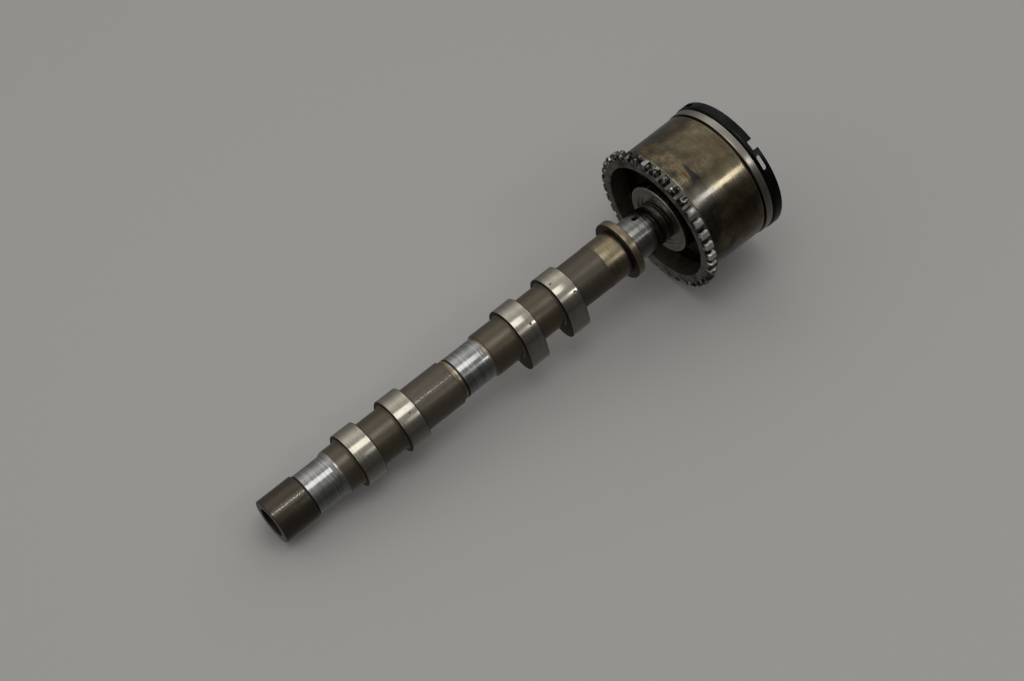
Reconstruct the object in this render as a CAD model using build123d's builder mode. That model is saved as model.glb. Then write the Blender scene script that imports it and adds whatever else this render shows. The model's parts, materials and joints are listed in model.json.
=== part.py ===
from build123d import *
from math import acos, atan, atan2, cos, degrees, radians, sin, tan
import os

os.makedirs("parts", exist_ok=True)

# Camshaft for two cylinders with two valves each, with its hydraulic cam phaser.
# It lies as it comes to rest: on the open end of the shaft and on two chain teeth,
# so its axis climbs towards the phaser. All sizes are millimetres and degrees, and
# stations are distances along the axis from the open end.

# Shaft: diameters
stub_diameter = 27.0
journal_diameter = 25.0
web_diameter = 27.2
front_web_diameter = 27.8
thrust_land_diameter = 28.2
collar_diameter = 36.8
nose_diameter = 25.2
relief_depth = 0.5
bore_diameter = 17.0

# Shaft: lengths along the axis
stub_length = 22.2
relief_width = 1.0
journal_1_length = 18.0
journal_1_cone = 2.3
first_lobe_station = 59.2
lobe_pair_spacing = 30.4
cylinder_pitch = 113.0
lobe_width = 13.0
journal_2_station = 136.4
journal_2_length = 19.4
land_relief_width = 1.5
ring_relief_width = 1.0
ring_width = 1.0
front_web_station = 208.9
thrust_land_station = 231.0
collar_station = 247.0
collar_width = 4.8
collar_undercut = 1.2
collar_undercut_depth = 1.0
sprocket_station = 276.2
bore_depth = 236.0
drill_tip_angle = 118.0
end_chamfer = 0.8
edge_chamfer = 0.4

# Cam lobes: base circle, lift, nose arc and the bulge of the flanks
base_circle_radius = 16.6
lobe_lift = 5.9
nose_arc_radius = 9.0
flank_radius = 70.0
phaser_side_nose_angle = 220.0
open_side_nose_lead = 90.0

# Oil feed hole in the front journal
oil_hole_diameter = 3.0
oil_hole_angle = 71.0
oil_hole_setback = 14.7

# Rotor, from the chamber inwards
vane_height = 11.0
core_step = 2.7
vane_count = 4
vane_angle = 23.0
phaser_travel = 25.0
stop_clearance_angle = 0.7
hub_standoff = 2.3
hub_step_shares = (0.45, 0.25)
hub_step_depth = 0.9
boss_wall = 3.4
boss_standoff = 0.3
nose_depth = 21.5

# Phaser drum: housing, inner plate, outer cover
drum_radius = 41.1
housing_wall = 5.1
recess_wall = 2.2
drum_length = 38.9
chamber_length = 22.6
inner_plate_thickness = 4.2
cover_groove_width = 1.6
cover_groove_depth = 1.5
cover_ring_width = 4.7
cover_lip = 0.6

# Chain sprocket: silent chain of 8 mm pitch
tooth_count = 36
tooth_root_rise = 1.0
tooth_height = 3.7
tooth_tip_width = 3.6
tooth_root_width = 5.9
tooth_bevel = 0.8
tooth_width = 5.2
sprocket_width = 7.5
sprocket_spigot_length = 4.6
spigot_wall = 1.62

# Trigger wheel on the outer end
wheel_lip = 0.6
wheel_sheet = 1.6
wheel_height = 6.4
wheel_notch_angles = (110.0, 118.0)
wheel_notch_depth = 3.6
wheel_window_angles = (123.0, 136.0)
wheel_window_bar = 2.2
wheel_pattern_count = 4

# Fasteners and small parts
center_bolt_diameter = 12.0
center_bolt_thread_length = 16.0
center_bolt_head_flats = 17.0
center_bolt_head_height = 7.0
center_bolt_passage = 13.5
center_thread_end_gap = 2.0
center_passage_setback = 36.0
washer_radius = 10.8
washer_thickness = 2.4
cover_bolt_diameter = 6.0
cover_bolt_web = 1.3
cover_bolt_head_diameter = 9.6
cover_bolt_head_height = 4.0
cover_bolt_socket_flats = 5.0
dowel_diameter = 3.0
dowel_length = 8.0
wheel_dowel_angle = 57.0
stator_dowel_offset_angle = 14.0

# Vane tip seals and stator seals
seal_width = 2.0
seal_height = 1.8
seal_groove_depth = 2.4
seal_spring_thickness = 0.25
seal_spring_sag = 0.3
seal_spring_length = 16.0

# Lock pin in the first vane
lock_pin_diameter = 6.0
lock_pin_length = 12.0
lock_pin_web = 0.4
lock_pin_retraction = 0.5
lock_pin_tip_taper = 0.6
lock_spring_bore = 3.8
lock_spring_bore_depth = 7.5
lock_spring_wire = 0.5
lock_spring_wire_sides = 8
lock_spring_turns = 5
lock_cap_thickness = 2.0
lock_bush_wall = 1.4
lock_bush_length = 3.6

# Fits
slip_clearance = 0.03
bearing_clearance = 0.05
bolt_passage_clearance = 0.12
counterbore_clearance = 0.18
axial_clearance = 0.1
seal_clearance = 0.1

# Radii that follow: the shaft's from their diameters, the phaser's from the drum
stub_radius = stub_diameter / 2
journal_radius = journal_diameter / 2
web_radius = web_diameter / 2
front_web_radius = front_web_diameter / 2
thrust_land_radius = thrust_land_diameter / 2
collar_radius = collar_diameter / 2
nose_radius = nose_diameter / 2
boss_radius = nose_radius + boss_wall
chamber_radius = drum_radius - housing_wall
rotor_core_radius = chamber_radius - vane_height
hub_radius = rotor_core_radius - core_step
hub_step_radii = [nose_radius + share * (hub_radius - nose_radius) for share in hub_step_shares]
recess_radius = drum_radius - recess_wall
mouth_radius = recess_radius - slip_clearance - spigot_wall
tooth_root_radius = drum_radius + tooth_root_rise
tooth_tip_radius = tooth_root_radius + tooth_height
cover_groove_radius = drum_radius - cover_groove_depth
cover_radius = drum_radius + cover_lip
wheel_radius = cover_radius + wheel_lip
wheel_inner_radius = wheel_radius - wheel_sheet
stator_seal_radius = rotor_core_radius + seal_clearance
stator_groove_radius = stator_seal_radius + seal_groove_depth
vane_tip_radius = chamber_radius - seal_clearance
vane_groove_radius = vane_tip_radius - seal_groove_depth
cover_bolt_circle_radius = stator_groove_radius + cover_bolt_diameter / 2 + cover_bolt_web
cover_bolt_passage_radius = cover_bolt_diameter / 2 + bolt_passage_clearance
cover_bolt_counterbore_radius = cover_bolt_head_diameter / 2 + counterbore_clearance
center_bolt_corner_radius = center_bolt_head_flats / 2 / cos(radians(30))
lock_pin_radius = lock_pin_diameter / 2
lock_pin_circle_radius = rotor_core_radius + lock_pin_radius + lock_pin_web
lock_bush_radius = lock_pin_radius + lock_bush_wall
nose_dowel_circle_radius = (center_bolt_passage / 2 + nose_radius) / 2
wheel_dowel_circle_radius = (washer_radius + boss_radius) / 2

# Stations that follow from the lengths
journal_1_start = stub_length + relief_width
journal_1_end = stub_length + journal_1_length
rear_web_start = journal_1_end + journal_1_cone
journal_2_start = journal_2_station - journal_2_length / 2
journal_2_end = journal_2_station + journal_2_length / 2
ring_end = journal_2_start - ring_relief_width
ring_start = ring_end - ring_width
journal_2_land_start = ring_start - land_relief_width
journal_2_land_end = journal_2_end + land_relief_width
collar_end = collar_station + collar_width
nose_start = collar_end + relief_width
hub_station = sprocket_station + hub_standoff
nose_end = hub_station + nose_depth
seam_station = sprocket_station + sprocket_width
drum_end = seam_station + drum_length
chamber_start = drum_end - chamber_length
inner_plate_start = chamber_start - inner_plate_thickness
cover_end = drum_end + cover_groove_width + cover_ring_width
boss_end = cover_end + boss_standoff
wheel_face = boss_end + wheel_sheet
wheel_end = boss_end + wheel_height
washer_face = wheel_face + washer_thickness
bolt_head_end = washer_face + center_bolt_head_height
bore_tip = bore_depth + bore_diameter / 2 / tan(radians(drill_tip_angle / 2))
thread_start = nose_end - center_passage_setback
thread_end = thread_start - center_bolt_thread_length - center_thread_end_gap
lobe_stations = (
    first_lobe_station,
    first_lobe_station + lobe_pair_spacing,
    first_lobe_station + cylinder_pitch,
    first_lobe_station + cylinder_pitch + lobe_pair_spacing,
)

# Angles that follow from the counts
tooth_pitch_angle = 360 / tooth_count
tooth_tip_half_angle = degrees(atan2(tooth_tip_width / 2, tooth_tip_radius))
vane_pitch_angle = 360 / vane_count
stator_angle = vane_pitch_angle - vane_angle - phaser_travel - 2 * stop_clearance_angle
vane_center_angle = 90.0
stator_center_angle = vane_center_angle + vane_angle / 2 + stop_clearance_angle + stator_angle / 2

# The lie of the axis: the stub's lower edge and the two lowest teeth touch the ground
resting_tooth_angle = tooth_pitch_angle / 2 - tooth_tip_half_angle
resting_tooth_radius = tooth_tip_radius * cos(radians(resting_tooth_angle))
resting_span = sprocket_station + tooth_bevel - end_chamfer
axis_tilt = degrees(atan((resting_tooth_radius - stub_radius) / resting_span))
tilt_cos = cos(radians(axis_tilt))
tilt_sin = sin(radians(axis_tilt))
open_end_height = stub_radius * tilt_cos - end_chamfer * tilt_sin
rear_reach = (stub_radius - end_chamfer) * tilt_sin
front_reach = wheel_end * tilt_cos + (wheel_radius - edge_chamfer) * tilt_sin
bolt_reach = bolt_head_end * tilt_cos + center_bolt_head_flats / 2 * tilt_sin
open_end_x = -(max(front_reach, bolt_reach) - rear_reach) / 2

# Planes: the local Z of shaft_plane is the axis and its local X points across,
# and section_plane holds the axis as its local X, for profiles that are revolved
axis_direction = (tilt_cos, 0, tilt_sin)
axis_origin = (open_end_x, 0, open_end_height)
shaft_plane = Plane(origin=axis_origin, x_dir=(0, 1, 0), z_dir=axis_direction)
section_plane = Plane(origin=axis_origin, x_dir=axis_direction, z_dir=(0, -1, 0))
shaft_axis = Axis(axis_origin, axis_direction)


def at_station(station):
    """Plane square to the axis at a distance from the open end."""
    return shaft_plane.offset(station)


def polar_point(radius, angle):
    """Point at a radius and an angle from the local X axis."""
    return (radius * cos(radians(angle)), radius * sin(radians(angle)))


def sector_face(inner_radius, outer_radius, center_angle, angle):
    """Ring sector about a centre angle."""
    start_angle = center_angle - angle / 2
    with BuildSketch() as sector:
        with BuildLine():
            inner = CenterArc((0, 0), inner_radius, start_angle, angle)
            outer = CenterArc((0, 0), outer_radius, start_angle, angle)
            Line(inner @ 0, outer @ 0)
            Line(inner @ 1, outer @ 1)
        make_face()
    return sector.sketch


def tooth_face():
    """One chain tooth with straight flanks, standing on the drum's radius."""
    with BuildSketch() as tooth:
        with BuildLine():
            Polyline(
                (drum_radius, -tooth_root_width / 2),
                (tooth_root_radius, -tooth_root_width / 2),
                (tooth_tip_radius, -tooth_tip_width / 2),
                (tooth_tip_radius, tooth_tip_width / 2),
                (tooth_root_radius, tooth_root_width / 2),
                (drum_radius, tooth_root_width / 2),
                close=True,
            )
        make_face()
    return tooth.sketch


def lobe_face(nose_angle):
    """Cam outline of four tangent arcs: base circle, two flanks and the nose."""
    nose_center_distance = base_circle_radius + lobe_lift - nose_arc_radius
    base_leg = flank_radius - base_circle_radius
    nose_leg = flank_radius - nose_arc_radius
    spread = (nose_center_distance**2 + base_leg**2 - nose_leg**2) / (
        2 * nose_center_distance * base_leg
    )
    flank_center_angle = degrees(acos(spread))
    nose_center = Vector(nose_center_distance, 0)
    flank_center = Vector(*polar_point(base_leg, flank_center_angle))
    base_tangent = flank_center.normalized() * -base_circle_radius
    nose_tangent = nose_center + (nose_center - flank_center).normalized() * nose_arc_radius
    flank_way = (base_tangent + nose_tangent) * 0.5 - flank_center
    flank_middle = flank_center + flank_way.normalized() * flank_radius
    with BuildSketch() as lobe:
        with BuildLine():
            ThreePointArc(base_tangent, flank_middle, nose_tangent)
            mirror(about=Plane.XZ)
            ThreePointArc(
                nose_tangent,
                (base_circle_radius + lobe_lift, 0),
                (nose_tangent.X, -nose_tangent.Y),
            )
            ThreePointArc(
                base_tangent, (-base_circle_radius, 0), (base_tangent.X, -base_tangent.Y)
            )
        make_face()
    return lobe.sketch.rotate(Axis.Z, nose_angle)


# Camshaft: one casting with its lobes, ground journals, thrust collar and nose
journal_relief_radius = journal_radius - relief_depth
nose_relief_radius = nose_radius - relief_depth
undercut_radius = thrust_land_radius - collar_undercut_depth

with BuildPart() as camshaft:
    with BuildSketch(section_plane):
        with BuildLine():
            Polyline(
                (0, 0),
                (0, stub_radius - end_chamfer),
                (end_chamfer, stub_radius),
                (stub_length - edge_chamfer, stub_radius),
                (stub_length, stub_radius - edge_chamfer),
                (stub_length, journal_relief_radius),
                (journal_1_start, journal_relief_radius),
                (journal_1_start, journal_radius),
                (journal_1_end, journal_radius),
                (rear_web_start, web_radius),
                (journal_2_land_start - edge_chamfer, web_radius),
                (journal_2_land_start, web_radius - edge_chamfer),
                (journal_2_land_start, journal_relief_radius),
                (ring_start, journal_relief_radius),
                (ring_start, journal_radius),
                (ring_end, journal_radius),
                (ring_end, journal_relief_radius),
                (journal_2_start, journal_relief_radius),
                (journal_2_start, journal_radius),
                (journal_2_end, journal_radius),
                (journal_2_end, journal_relief_radius),
                (journal_2_land_end, journal_relief_radius),
                (journal_2_land_end, web_radius - edge_chamfer),
                (journal_2_land_end + edge_chamfer, web_radius),
                (front_web_station, web_radius),
                (front_web_station, front_web_radius),
                (thrust_land_station, front_web_radius),
                (thrust_land_station, thrust_land_radius),
                (collar_station - collar_undercut, thrust_land_radius),
                (collar_station - collar_undercut, undercut_radius),
                (collar_station, undercut_radius),
                (collar_station, collar_radius - end_chamfer),
                (collar_station + end_chamfer, collar_radius),
                (collar_end - edge_chamfer, collar_radius),
                (collar_end, collar_radius - edge_chamfer),
                (collar_end, nose_relief_radius),
                (nose_start, nose_relief_radius),
                (nose_start, nose_radius),
                (nose_end - end_chamfer, nose_radius),
                (nose_end, nose_radius - end_chamfer),
                (nose_end, 0),
                close=True,
            )
        make_face()
    revolve(axis=shaft_axis)
    for number, station in enumerate(lobe_stations):
        lead = open_side_nose_lead if number < 2 else 0
        with BuildSketch(at_station(station - lobe_width / 2)):
            add(lobe_face(phaser_side_nose_angle + lead))
        extrude(amount=lobe_width)
    with BuildSketch(section_plane):
        with BuildLine():
            Polyline(
                (0, 0),
                (0, bore_diameter / 2 + edge_chamfer),
                (edge_chamfer, bore_diameter / 2),
                (bore_depth, bore_diameter / 2),
                (bore_tip, 0),
                close=True,
            )
        make_face()
    revolve(axis=shaft_axis, mode=Mode.SUBTRACT)
    with BuildSketch(at_station(thread_start)):
        Circle(center_bolt_passage / 2)
    extrude(amount=nose_end - thread_start, mode=Mode.SUBTRACT)
    with BuildSketch(at_station(thread_end)):
        Circle(center_bolt_diameter / 2 + slip_clearance)
    extrude(amount=thread_start - thread_end, mode=Mode.SUBTRACT)
    with BuildSketch(at_station(nose_end)):
        with Locations(polar_point(nose_dowel_circle_radius, vane_center_angle)):
            Circle(dowel_diameter / 2 + slip_clearance)
    extrude(amount=-dowel_length / 2, mode=Mode.SUBTRACT)
    oil_hole_plane = Plane(
        origin=at_station(hub_station - oil_hole_setback).from_local_coords((0, 0, 0)),
        x_dir=axis_direction,
        z_dir=shaft_plane.from_local_coords(Vector(*polar_point(1, oil_hole_angle)))
        - Vector(*axis_origin),
    )
    with BuildSketch(oil_hole_plane):
        Circle(oil_hole_diameter / 2)
    extrude(amount=nose_radius + end_chamfer, mode=Mode.SUBTRACT)
camshaft.part.label = "camshaft"

# Sprocket ring: teeth cut through, then turned to its stepped and bevelled section
with BuildPart() as sprocket_ring:
    with BuildSketch(at_station(sprocket_station)):
        Circle(tooth_root_radius)
        with PolarLocations(0, tooth_count, start_angle=90 + tooth_pitch_angle / 2):
            add(tooth_face())
    extrude(amount=sprocket_width + sprocket_spigot_length)
    with BuildSketch(section_plane):
        with BuildLine():
            Polyline(
                (sprocket_station, mouth_radius + edge_chamfer),
                (sprocket_station, tooth_tip_radius - 2 * tooth_bevel),
                (sprocket_station + tooth_bevel, tooth_tip_radius),
                (sprocket_station + tooth_width - edge_chamfer, tooth_tip_radius),
                (sprocket_station + tooth_width, tooth_tip_radius - edge_chamfer),
                (sprocket_station + tooth_width, drum_radius),
                (seam_station, drum_radius),
                (seam_station, recess_radius - slip_clearance),
                (seam_station + sprocket_spigot_length, recess_radius - slip_clearance),
                (seam_station + sprocket_spigot_length, mouth_radius),
                (sprocket_station + edge_chamfer, mouth_radius),
                close=True,
            )
        make_face()
    revolve(axis=shaft_axis, mode=Mode.INTERSECT)
sprocket_ring.part.label = "sprocket_ring"

# Housing: turned drum with a recess at the shaft end and four stator lobes inside
with BuildPart() as stator_housing:
    with BuildSketch(at_station(seam_station)):
        Circle(drum_radius)
        Circle(recess_radius, mode=Mode.SUBTRACT)
    extrude(amount=chamber_start - seam_station)
    with BuildSketch(at_station(chamber_start)):
        Circle(drum_radius)
        Circle(chamber_radius, mode=Mode.SUBTRACT)
        for number in range(vane_count):
            lobe_angle = stator_center_angle + number * vane_pitch_angle
            add(sector_face(stator_seal_radius, chamber_radius + 1, lobe_angle, stator_angle))
    extrude(amount=chamber_length)
    with BuildSketch(at_station(chamber_start)):
        with PolarLocations(cover_bolt_circle_radius, vane_count, start_angle=stator_center_angle):
            Circle(cover_bolt_passage_radius)
        with PolarLocations(stator_seal_radius, vane_count, start_angle=stator_center_angle):
            Rectangle(2 * seal_groove_depth, seal_width + 2 * slip_clearance)
    extrude(amount=chamber_length, mode=Mode.SUBTRACT)
    with BuildSketch(at_station(drum_end)):
        with PolarLocations(
            cover_bolt_circle_radius,
            2,
            start_angle=stator_center_angle + stator_dowel_offset_angle,
        ):
            Circle(dowel_diameter / 2 + slip_clearance)
    extrude(amount=-dowel_length / 2, mode=Mode.SUBTRACT)
stator_housing.part.label = "stator_housing"

# Inner plate: closes the vane chambers, runs on the hub, takes the cover bolts
lock_pin_center = polar_point(lock_pin_circle_radius, vane_center_angle)
with BuildPart() as inner_plate:
    with BuildSketch(at_station(inner_plate_start)):
        Circle(recess_radius - slip_clearance)
        Circle(hub_radius + bearing_clearance, mode=Mode.SUBTRACT)
        with PolarLocations(cover_bolt_circle_radius, vane_count, start_angle=stator_center_angle):
            Circle(cover_bolt_diameter / 2 + slip_clearance, mode=Mode.SUBTRACT)
    extrude(amount=inner_plate_thickness)
    with BuildSketch(at_station(chamber_start)):
        with Locations(lock_pin_center):
            Circle(lock_bush_radius)
    extrude(amount=-lock_bush_length, mode=Mode.SUBTRACT)
inner_plate.part.label = "inner_plate"

# Outer cover: grooved at its foot, bright at its rim, counterbored for the bolts
with BuildPart() as outer_cover:
    with BuildSketch(section_plane):
        with BuildLine():
            Polyline(
                (drum_end, boss_radius + bearing_clearance),
                (drum_end, cover_groove_radius),
                (drum_end + cover_groove_width, cover_groove_radius),
                (drum_end + cover_groove_width, cover_radius - edge_chamfer),
                (drum_end + cover_groove_width + edge_chamfer, cover_radius),
                (cover_end - edge_chamfer, cover_radius),
                (cover_end, cover_radius - edge_chamfer),
                (cover_end, boss_radius + bearing_clearance),
                close=True,
            )
        make_face()
    revolve(axis=shaft_axis)
    with BuildSketch(at_station(drum_end)):
        with PolarLocations(cover_bolt_circle_radius, vane_count, start_angle=stator_center_angle):
            Circle(cover_bolt_passage_radius)
    extrude(amount=cover_end - drum_end, mode=Mode.SUBTRACT)
    with BuildSketch(at_station(cover_end)):
        with PolarLocations(cover_bolt_circle_radius, vane_count, start_angle=stator_center_angle):
            Circle(cover_bolt_counterbore_radius)
    extrude(amount=-cover_bolt_head_height - axial_clearance, mode=Mode.SUBTRACT)
    with BuildSketch(at_station(drum_end)):
        with PolarLocations(
            cover_bolt_circle_radius,
            2,
            start_angle=stator_center_angle + stator_dowel_offset_angle,
        ):
            Circle(dowel_diameter / 2 + slip_clearance)
    extrude(amount=dowel_length / 2, mode=Mode.SUBTRACT)
outer_cover.part.label = "outer_cover"

# Cover bolts: four socket-head screws through the stator lobes into the inner plate
cover_bolt_seat = cover_end - cover_bolt_head_height - axial_clearance
with BuildPart() as cover_bolts:
    with BuildSketch(at_station(cover_bolt_seat)):
        with PolarLocations(cover_bolt_circle_radius, vane_count, start_angle=stator_center_angle):
            Circle(cover_bolt_head_diameter / 2)
    extrude(amount=cover_bolt_head_height)
    with BuildSketch(at_station(cover_bolt_seat)):
        with PolarLocations(cover_bolt_circle_radius, vane_count, start_angle=stator_center_angle):
            Circle(cover_bolt_diameter / 2)
    extrude(amount=inner_plate_start - cover_bolt_seat)
    with BuildSketch(at_station(cover_bolt_seat + cover_bolt_head_height)):
        with PolarLocations(cover_bolt_circle_radius, vane_count, start_angle=stator_center_angle):
            RegularPolygon(cover_bolt_socket_flats / 2, 6, major_radius=False)
    extrude(amount=-cover_bolt_head_height / 2, mode=Mode.SUBTRACT)
cover_bolts.part.label = "cover_bolts"

# Stator dowels: locate the outer cover on the housing
with BuildPart() as stator_dowels:
    with BuildSketch(at_station(drum_end - dowel_length / 2)):
        with PolarLocations(
            cover_bolt_circle_radius,
            2,
            start_angle=stator_center_angle + stator_dowel_offset_angle,
        ):
            Circle(dowel_diameter / 2)
    extrude(amount=dowel_length)
stator_dowels.part.label = "stator_dowels"

# Rotor: hub that the shaft enters, vaned core in the chambers, boss for the wheel
core_start = chamber_start + axial_clearance
core_length = chamber_length - 2 * axial_clearance
with BuildPart() as rotor:
    with BuildSketch(section_plane):
        with BuildLine():
            Polyline(
                (hub_station, hub_step_radii[0]),
                (hub_station, hub_radius - end_chamfer),
                (hub_station + end_chamfer, hub_radius),
                (core_start, hub_radius),
                (core_start, rotor_core_radius),
                (core_start + core_length, rotor_core_radius),
                (core_start + core_length, boss_radius),
                (boss_end, boss_radius),
                (boss_end, center_bolt_passage / 2),
                (nose_end, center_bolt_passage / 2),
                (nose_end, nose_radius + slip_clearance),
                (hub_station + 2 * hub_step_depth, nose_radius + slip_clearance),
                (hub_station + 2 * hub_step_depth, hub_step_radii[1]),
                (hub_station + hub_step_depth, hub_step_radii[1]),
                (hub_station + hub_step_depth, hub_step_radii[0]),
                close=True,
            )
        make_face()
    revolve(axis=shaft_axis)
    with BuildSketch(at_station(core_start)):
        for number in range(vane_count):
            this_vane_angle = vane_center_angle + number * vane_pitch_angle
            add(sector_face(rotor_core_radius - 1, vane_tip_radius, this_vane_angle, vane_angle))
        with PolarLocations(vane_tip_radius, vane_count, start_angle=vane_center_angle):
            Rectangle(
                2 * seal_groove_depth, seal_width + 2 * slip_clearance, mode=Mode.SUBTRACT
            )
    extrude(amount=core_length)
    with BuildSketch(at_station(core_start)):
        with Locations(lock_pin_center):
            Circle(lock_pin_radius + bearing_clearance)
    extrude(amount=core_length, mode=Mode.SUBTRACT)
    with BuildSketch(at_station(nose_end)):
        with Locations(polar_point(nose_dowel_circle_radius, vane_center_angle)):
            Circle(dowel_diameter / 2 + slip_clearance)
    extrude(amount=dowel_length / 2, mode=Mode.SUBTRACT)
    with BuildSketch(at_station(boss_end)):
        with Locations(polar_point(wheel_dowel_circle_radius, wheel_dowel_angle)):
            Circle(dowel_diameter / 2 + slip_clearance)
    extrude(amount=-dowel_length / 2, mode=Mode.SUBTRACT)
rotor.part.label = "rotor"

# Nose dowel: times the rotor to the shaft
with BuildPart() as nose_dowel:
    with BuildSketch(at_station(nose_end - dowel_length / 2)):
        with Locations(polar_point(nose_dowel_circle_radius, vane_center_angle)):
            Circle(dowel_diameter / 2)
    extrude(amount=dowel_length)
nose_dowel.part.label = "nose_dowel"

# Trigger wheel: pressed sheet cup whose rim has open notches and closed windows
wheel_window_width = wheel_height - wheel_sheet - wheel_window_bar
notch_angle = wheel_notch_angles[1] - wheel_notch_angles[0]
notch_center = (wheel_notch_angles[1] + wheel_notch_angles[0]) / 2
window_angle = wheel_window_angles[1] - wheel_window_angles[0]
window_center = (wheel_window_angles[1] + wheel_window_angles[0]) / 2
wheel_pattern_pitch = 360 / wheel_pattern_count
with BuildPart() as trigger_wheel:
    with BuildSketch(section_plane):
        with BuildLine():
            Polyline(
                (boss_end, center_bolt_passage / 2),
                (boss_end, wheel_inner_radius),
                (wheel_face, wheel_radius),
                (wheel_end - edge_chamfer, wheel_radius),
                (wheel_end, wheel_radius - edge_chamfer),
                (wheel_end, wheel_inner_radius),
                (wheel_face, wheel_inner_radius),
                (wheel_face, center_bolt_passage / 2),
                close=True,
            )
        make_face()
    revolve(axis=shaft_axis)
    with BuildSketch(at_station(wheel_end)):
        for number in range(wheel_pattern_count):
            this_notch = notch_center + number * wheel_pattern_pitch
            add(sector_face(wheel_inner_radius - 1, wheel_radius + 1, this_notch, notch_angle))
    extrude(amount=-wheel_notch_depth, mode=Mode.SUBTRACT)
    with BuildSketch(at_station(wheel_end - wheel_window_bar)):
        for number in range(wheel_pattern_count):
            this_window = window_center + number * wheel_pattern_pitch
            add(sector_face(wheel_inner_radius - 1, wheel_radius + 1, this_window, window_angle))
    extrude(amount=-wheel_window_width, mode=Mode.SUBTRACT)
    with BuildSketch(at_station(boss_end)):
        with Locations(polar_point(wheel_dowel_circle_radius, wheel_dowel_angle)):
            Circle(dowel_diameter / 2 + slip_clearance)
    extrude(amount=wheel_sheet, mode=Mode.SUBTRACT)
trigger_wheel.part.label = "trigger_wheel"

# Wheel dowel: times the trigger wheel to the rotor
with BuildPart() as wheel_dowel:
    with BuildSketch(at_station(boss_end - dowel_length / 2)):
        with Locations(polar_point(wheel_dowel_circle_radius, wheel_dowel_angle)):
            Circle(dowel_diameter / 2)
    extrude(amount=dowel_length / 2 + wheel_sheet)
wheel_dowel.part.label = "wheel_dowel"

# Washer and centre bolt: clamp wheel, rotor and shaft together
with BuildPart() as bolt_washer:
    with BuildSketch(at_station(wheel_face)):
        Circle(washer_radius)
        Circle(center_bolt_passage / 2, mode=Mode.SUBTRACT)
    extrude(amount=washer_thickness)
bolt_washer.part.label = "bolt_washer"

bolt_tip = thread_start - center_bolt_thread_length
with BuildPart() as center_bolt:
    with BuildSketch(at_station(washer_face)):
        RegularPolygon(center_bolt_head_flats / 2, 6, major_radius=False)
    extrude(amount=center_bolt_head_height)
    with BuildSketch(section_plane):
        with BuildLine():
            Polyline(
                (washer_face, 0),
                (washer_face, center_bolt_corner_radius + edge_chamfer),
                (bolt_head_end - end_chamfer, center_bolt_corner_radius + edge_chamfer),
                (bolt_head_end, center_bolt_head_flats / 2 - edge_chamfer),
                (bolt_head_end, 0),
                close=True,
            )
        make_face()
    revolve(axis=shaft_axis, mode=Mode.INTERSECT)
    with BuildSketch(section_plane):
        with BuildLine():
            Polyline(
                (washer_face, 0),
                (washer_face, center_bolt_diameter / 2),
                (bolt_tip + end_chamfer, center_bolt_diameter / 2),
                (bolt_tip, center_bolt_diameter / 2 - end_chamfer),
                (bolt_tip, 0),
                close=True,
            )
        make_face()
    revolve(axis=shaft_axis)
center_bolt.part.label = "center_bolt"

# Seals: a bar in each vane tip and stator lobe, and an arched leaf spring under each
seal_start = core_start + axial_clearance
seal_length = core_length - 2 * axial_clearance
vane_seals = []
vane_springs = []
stator_seals = []
stator_springs = []


def make_seal(center_radius, angle):
    """Seal bar along the axis, centred at a radius and an angle."""
    with BuildPart() as seal:
        with BuildSketch(at_station(seal_start)):
            with Locations(Location(polar_point(center_radius, angle), angle)):
                Rectangle(seal_height, seal_width)
        extrude(amount=seal_length)
    return seal


def make_leaf_spring(floor_radius, outward, angle):
    """Leaf spring arched from the groove floor towards the seal."""
    middle = seal_start + seal_length / 2
    half_length = seal_spring_length / 2
    rise = seal_spring_sag * outward
    sheet = seal_spring_thickness * outward
    side = polar_point(1, angle)
    spring_plane = Plane(
        origin=axis_origin,
        x_dir=axis_direction,
        z_dir=Vector(*axis_direction).cross(
            shaft_plane.from_local_coords(Vector(*side)) - Vector(*axis_origin)
        ),
    )
    with BuildPart() as spring:
        with BuildSketch(spring_plane):
            with BuildLine():
                lower = ThreePointArc(
                    (middle - half_length, floor_radius),
                    (middle, floor_radius + rise),
                    (middle + half_length, floor_radius),
                )
                upper = ThreePointArc(
                    (middle - half_length, floor_radius + sheet),
                    (middle, floor_radius + rise + sheet),
                    (middle + half_length, floor_radius + sheet),
                )
                Line(lower @ 0, upper @ 0)
                Line(lower @ 1, upper @ 1)
            make_face()
        extrude(amount=seal_width / 2 - 2 * slip_clearance, both=True)
    return spring


for number in range(vane_count):
    seal_vane_angle = vane_center_angle + number * vane_pitch_angle
    seal_stator_angle = stator_center_angle + number * vane_pitch_angle
    vane_seal = make_seal(vane_tip_radius - seal_height / 2, seal_vane_angle)
    vane_seal.part.label = f"vane_seal_{number + 1}"
    vane_seals.append(vane_seal)
    stator_seal = make_seal(stator_seal_radius + seal_height / 2, seal_stator_angle)
    stator_seal.part.label = f"stator_seal_{number + 1}"
    stator_seals.append(stator_seal)
    vane_spring = make_leaf_spring(vane_groove_radius + slip_clearance, 1, seal_vane_angle)
    vane_spring.part.label = f"vane_seal_spring_{number + 1}"
    vane_springs.append(vane_spring)
    stator_spring = make_leaf_spring(stator_groove_radius - slip_clearance, -1, seal_stator_angle)
    stator_spring.part.label = f"stator_seal_spring_{number + 1}"
    stator_springs.append(stator_spring)

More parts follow.
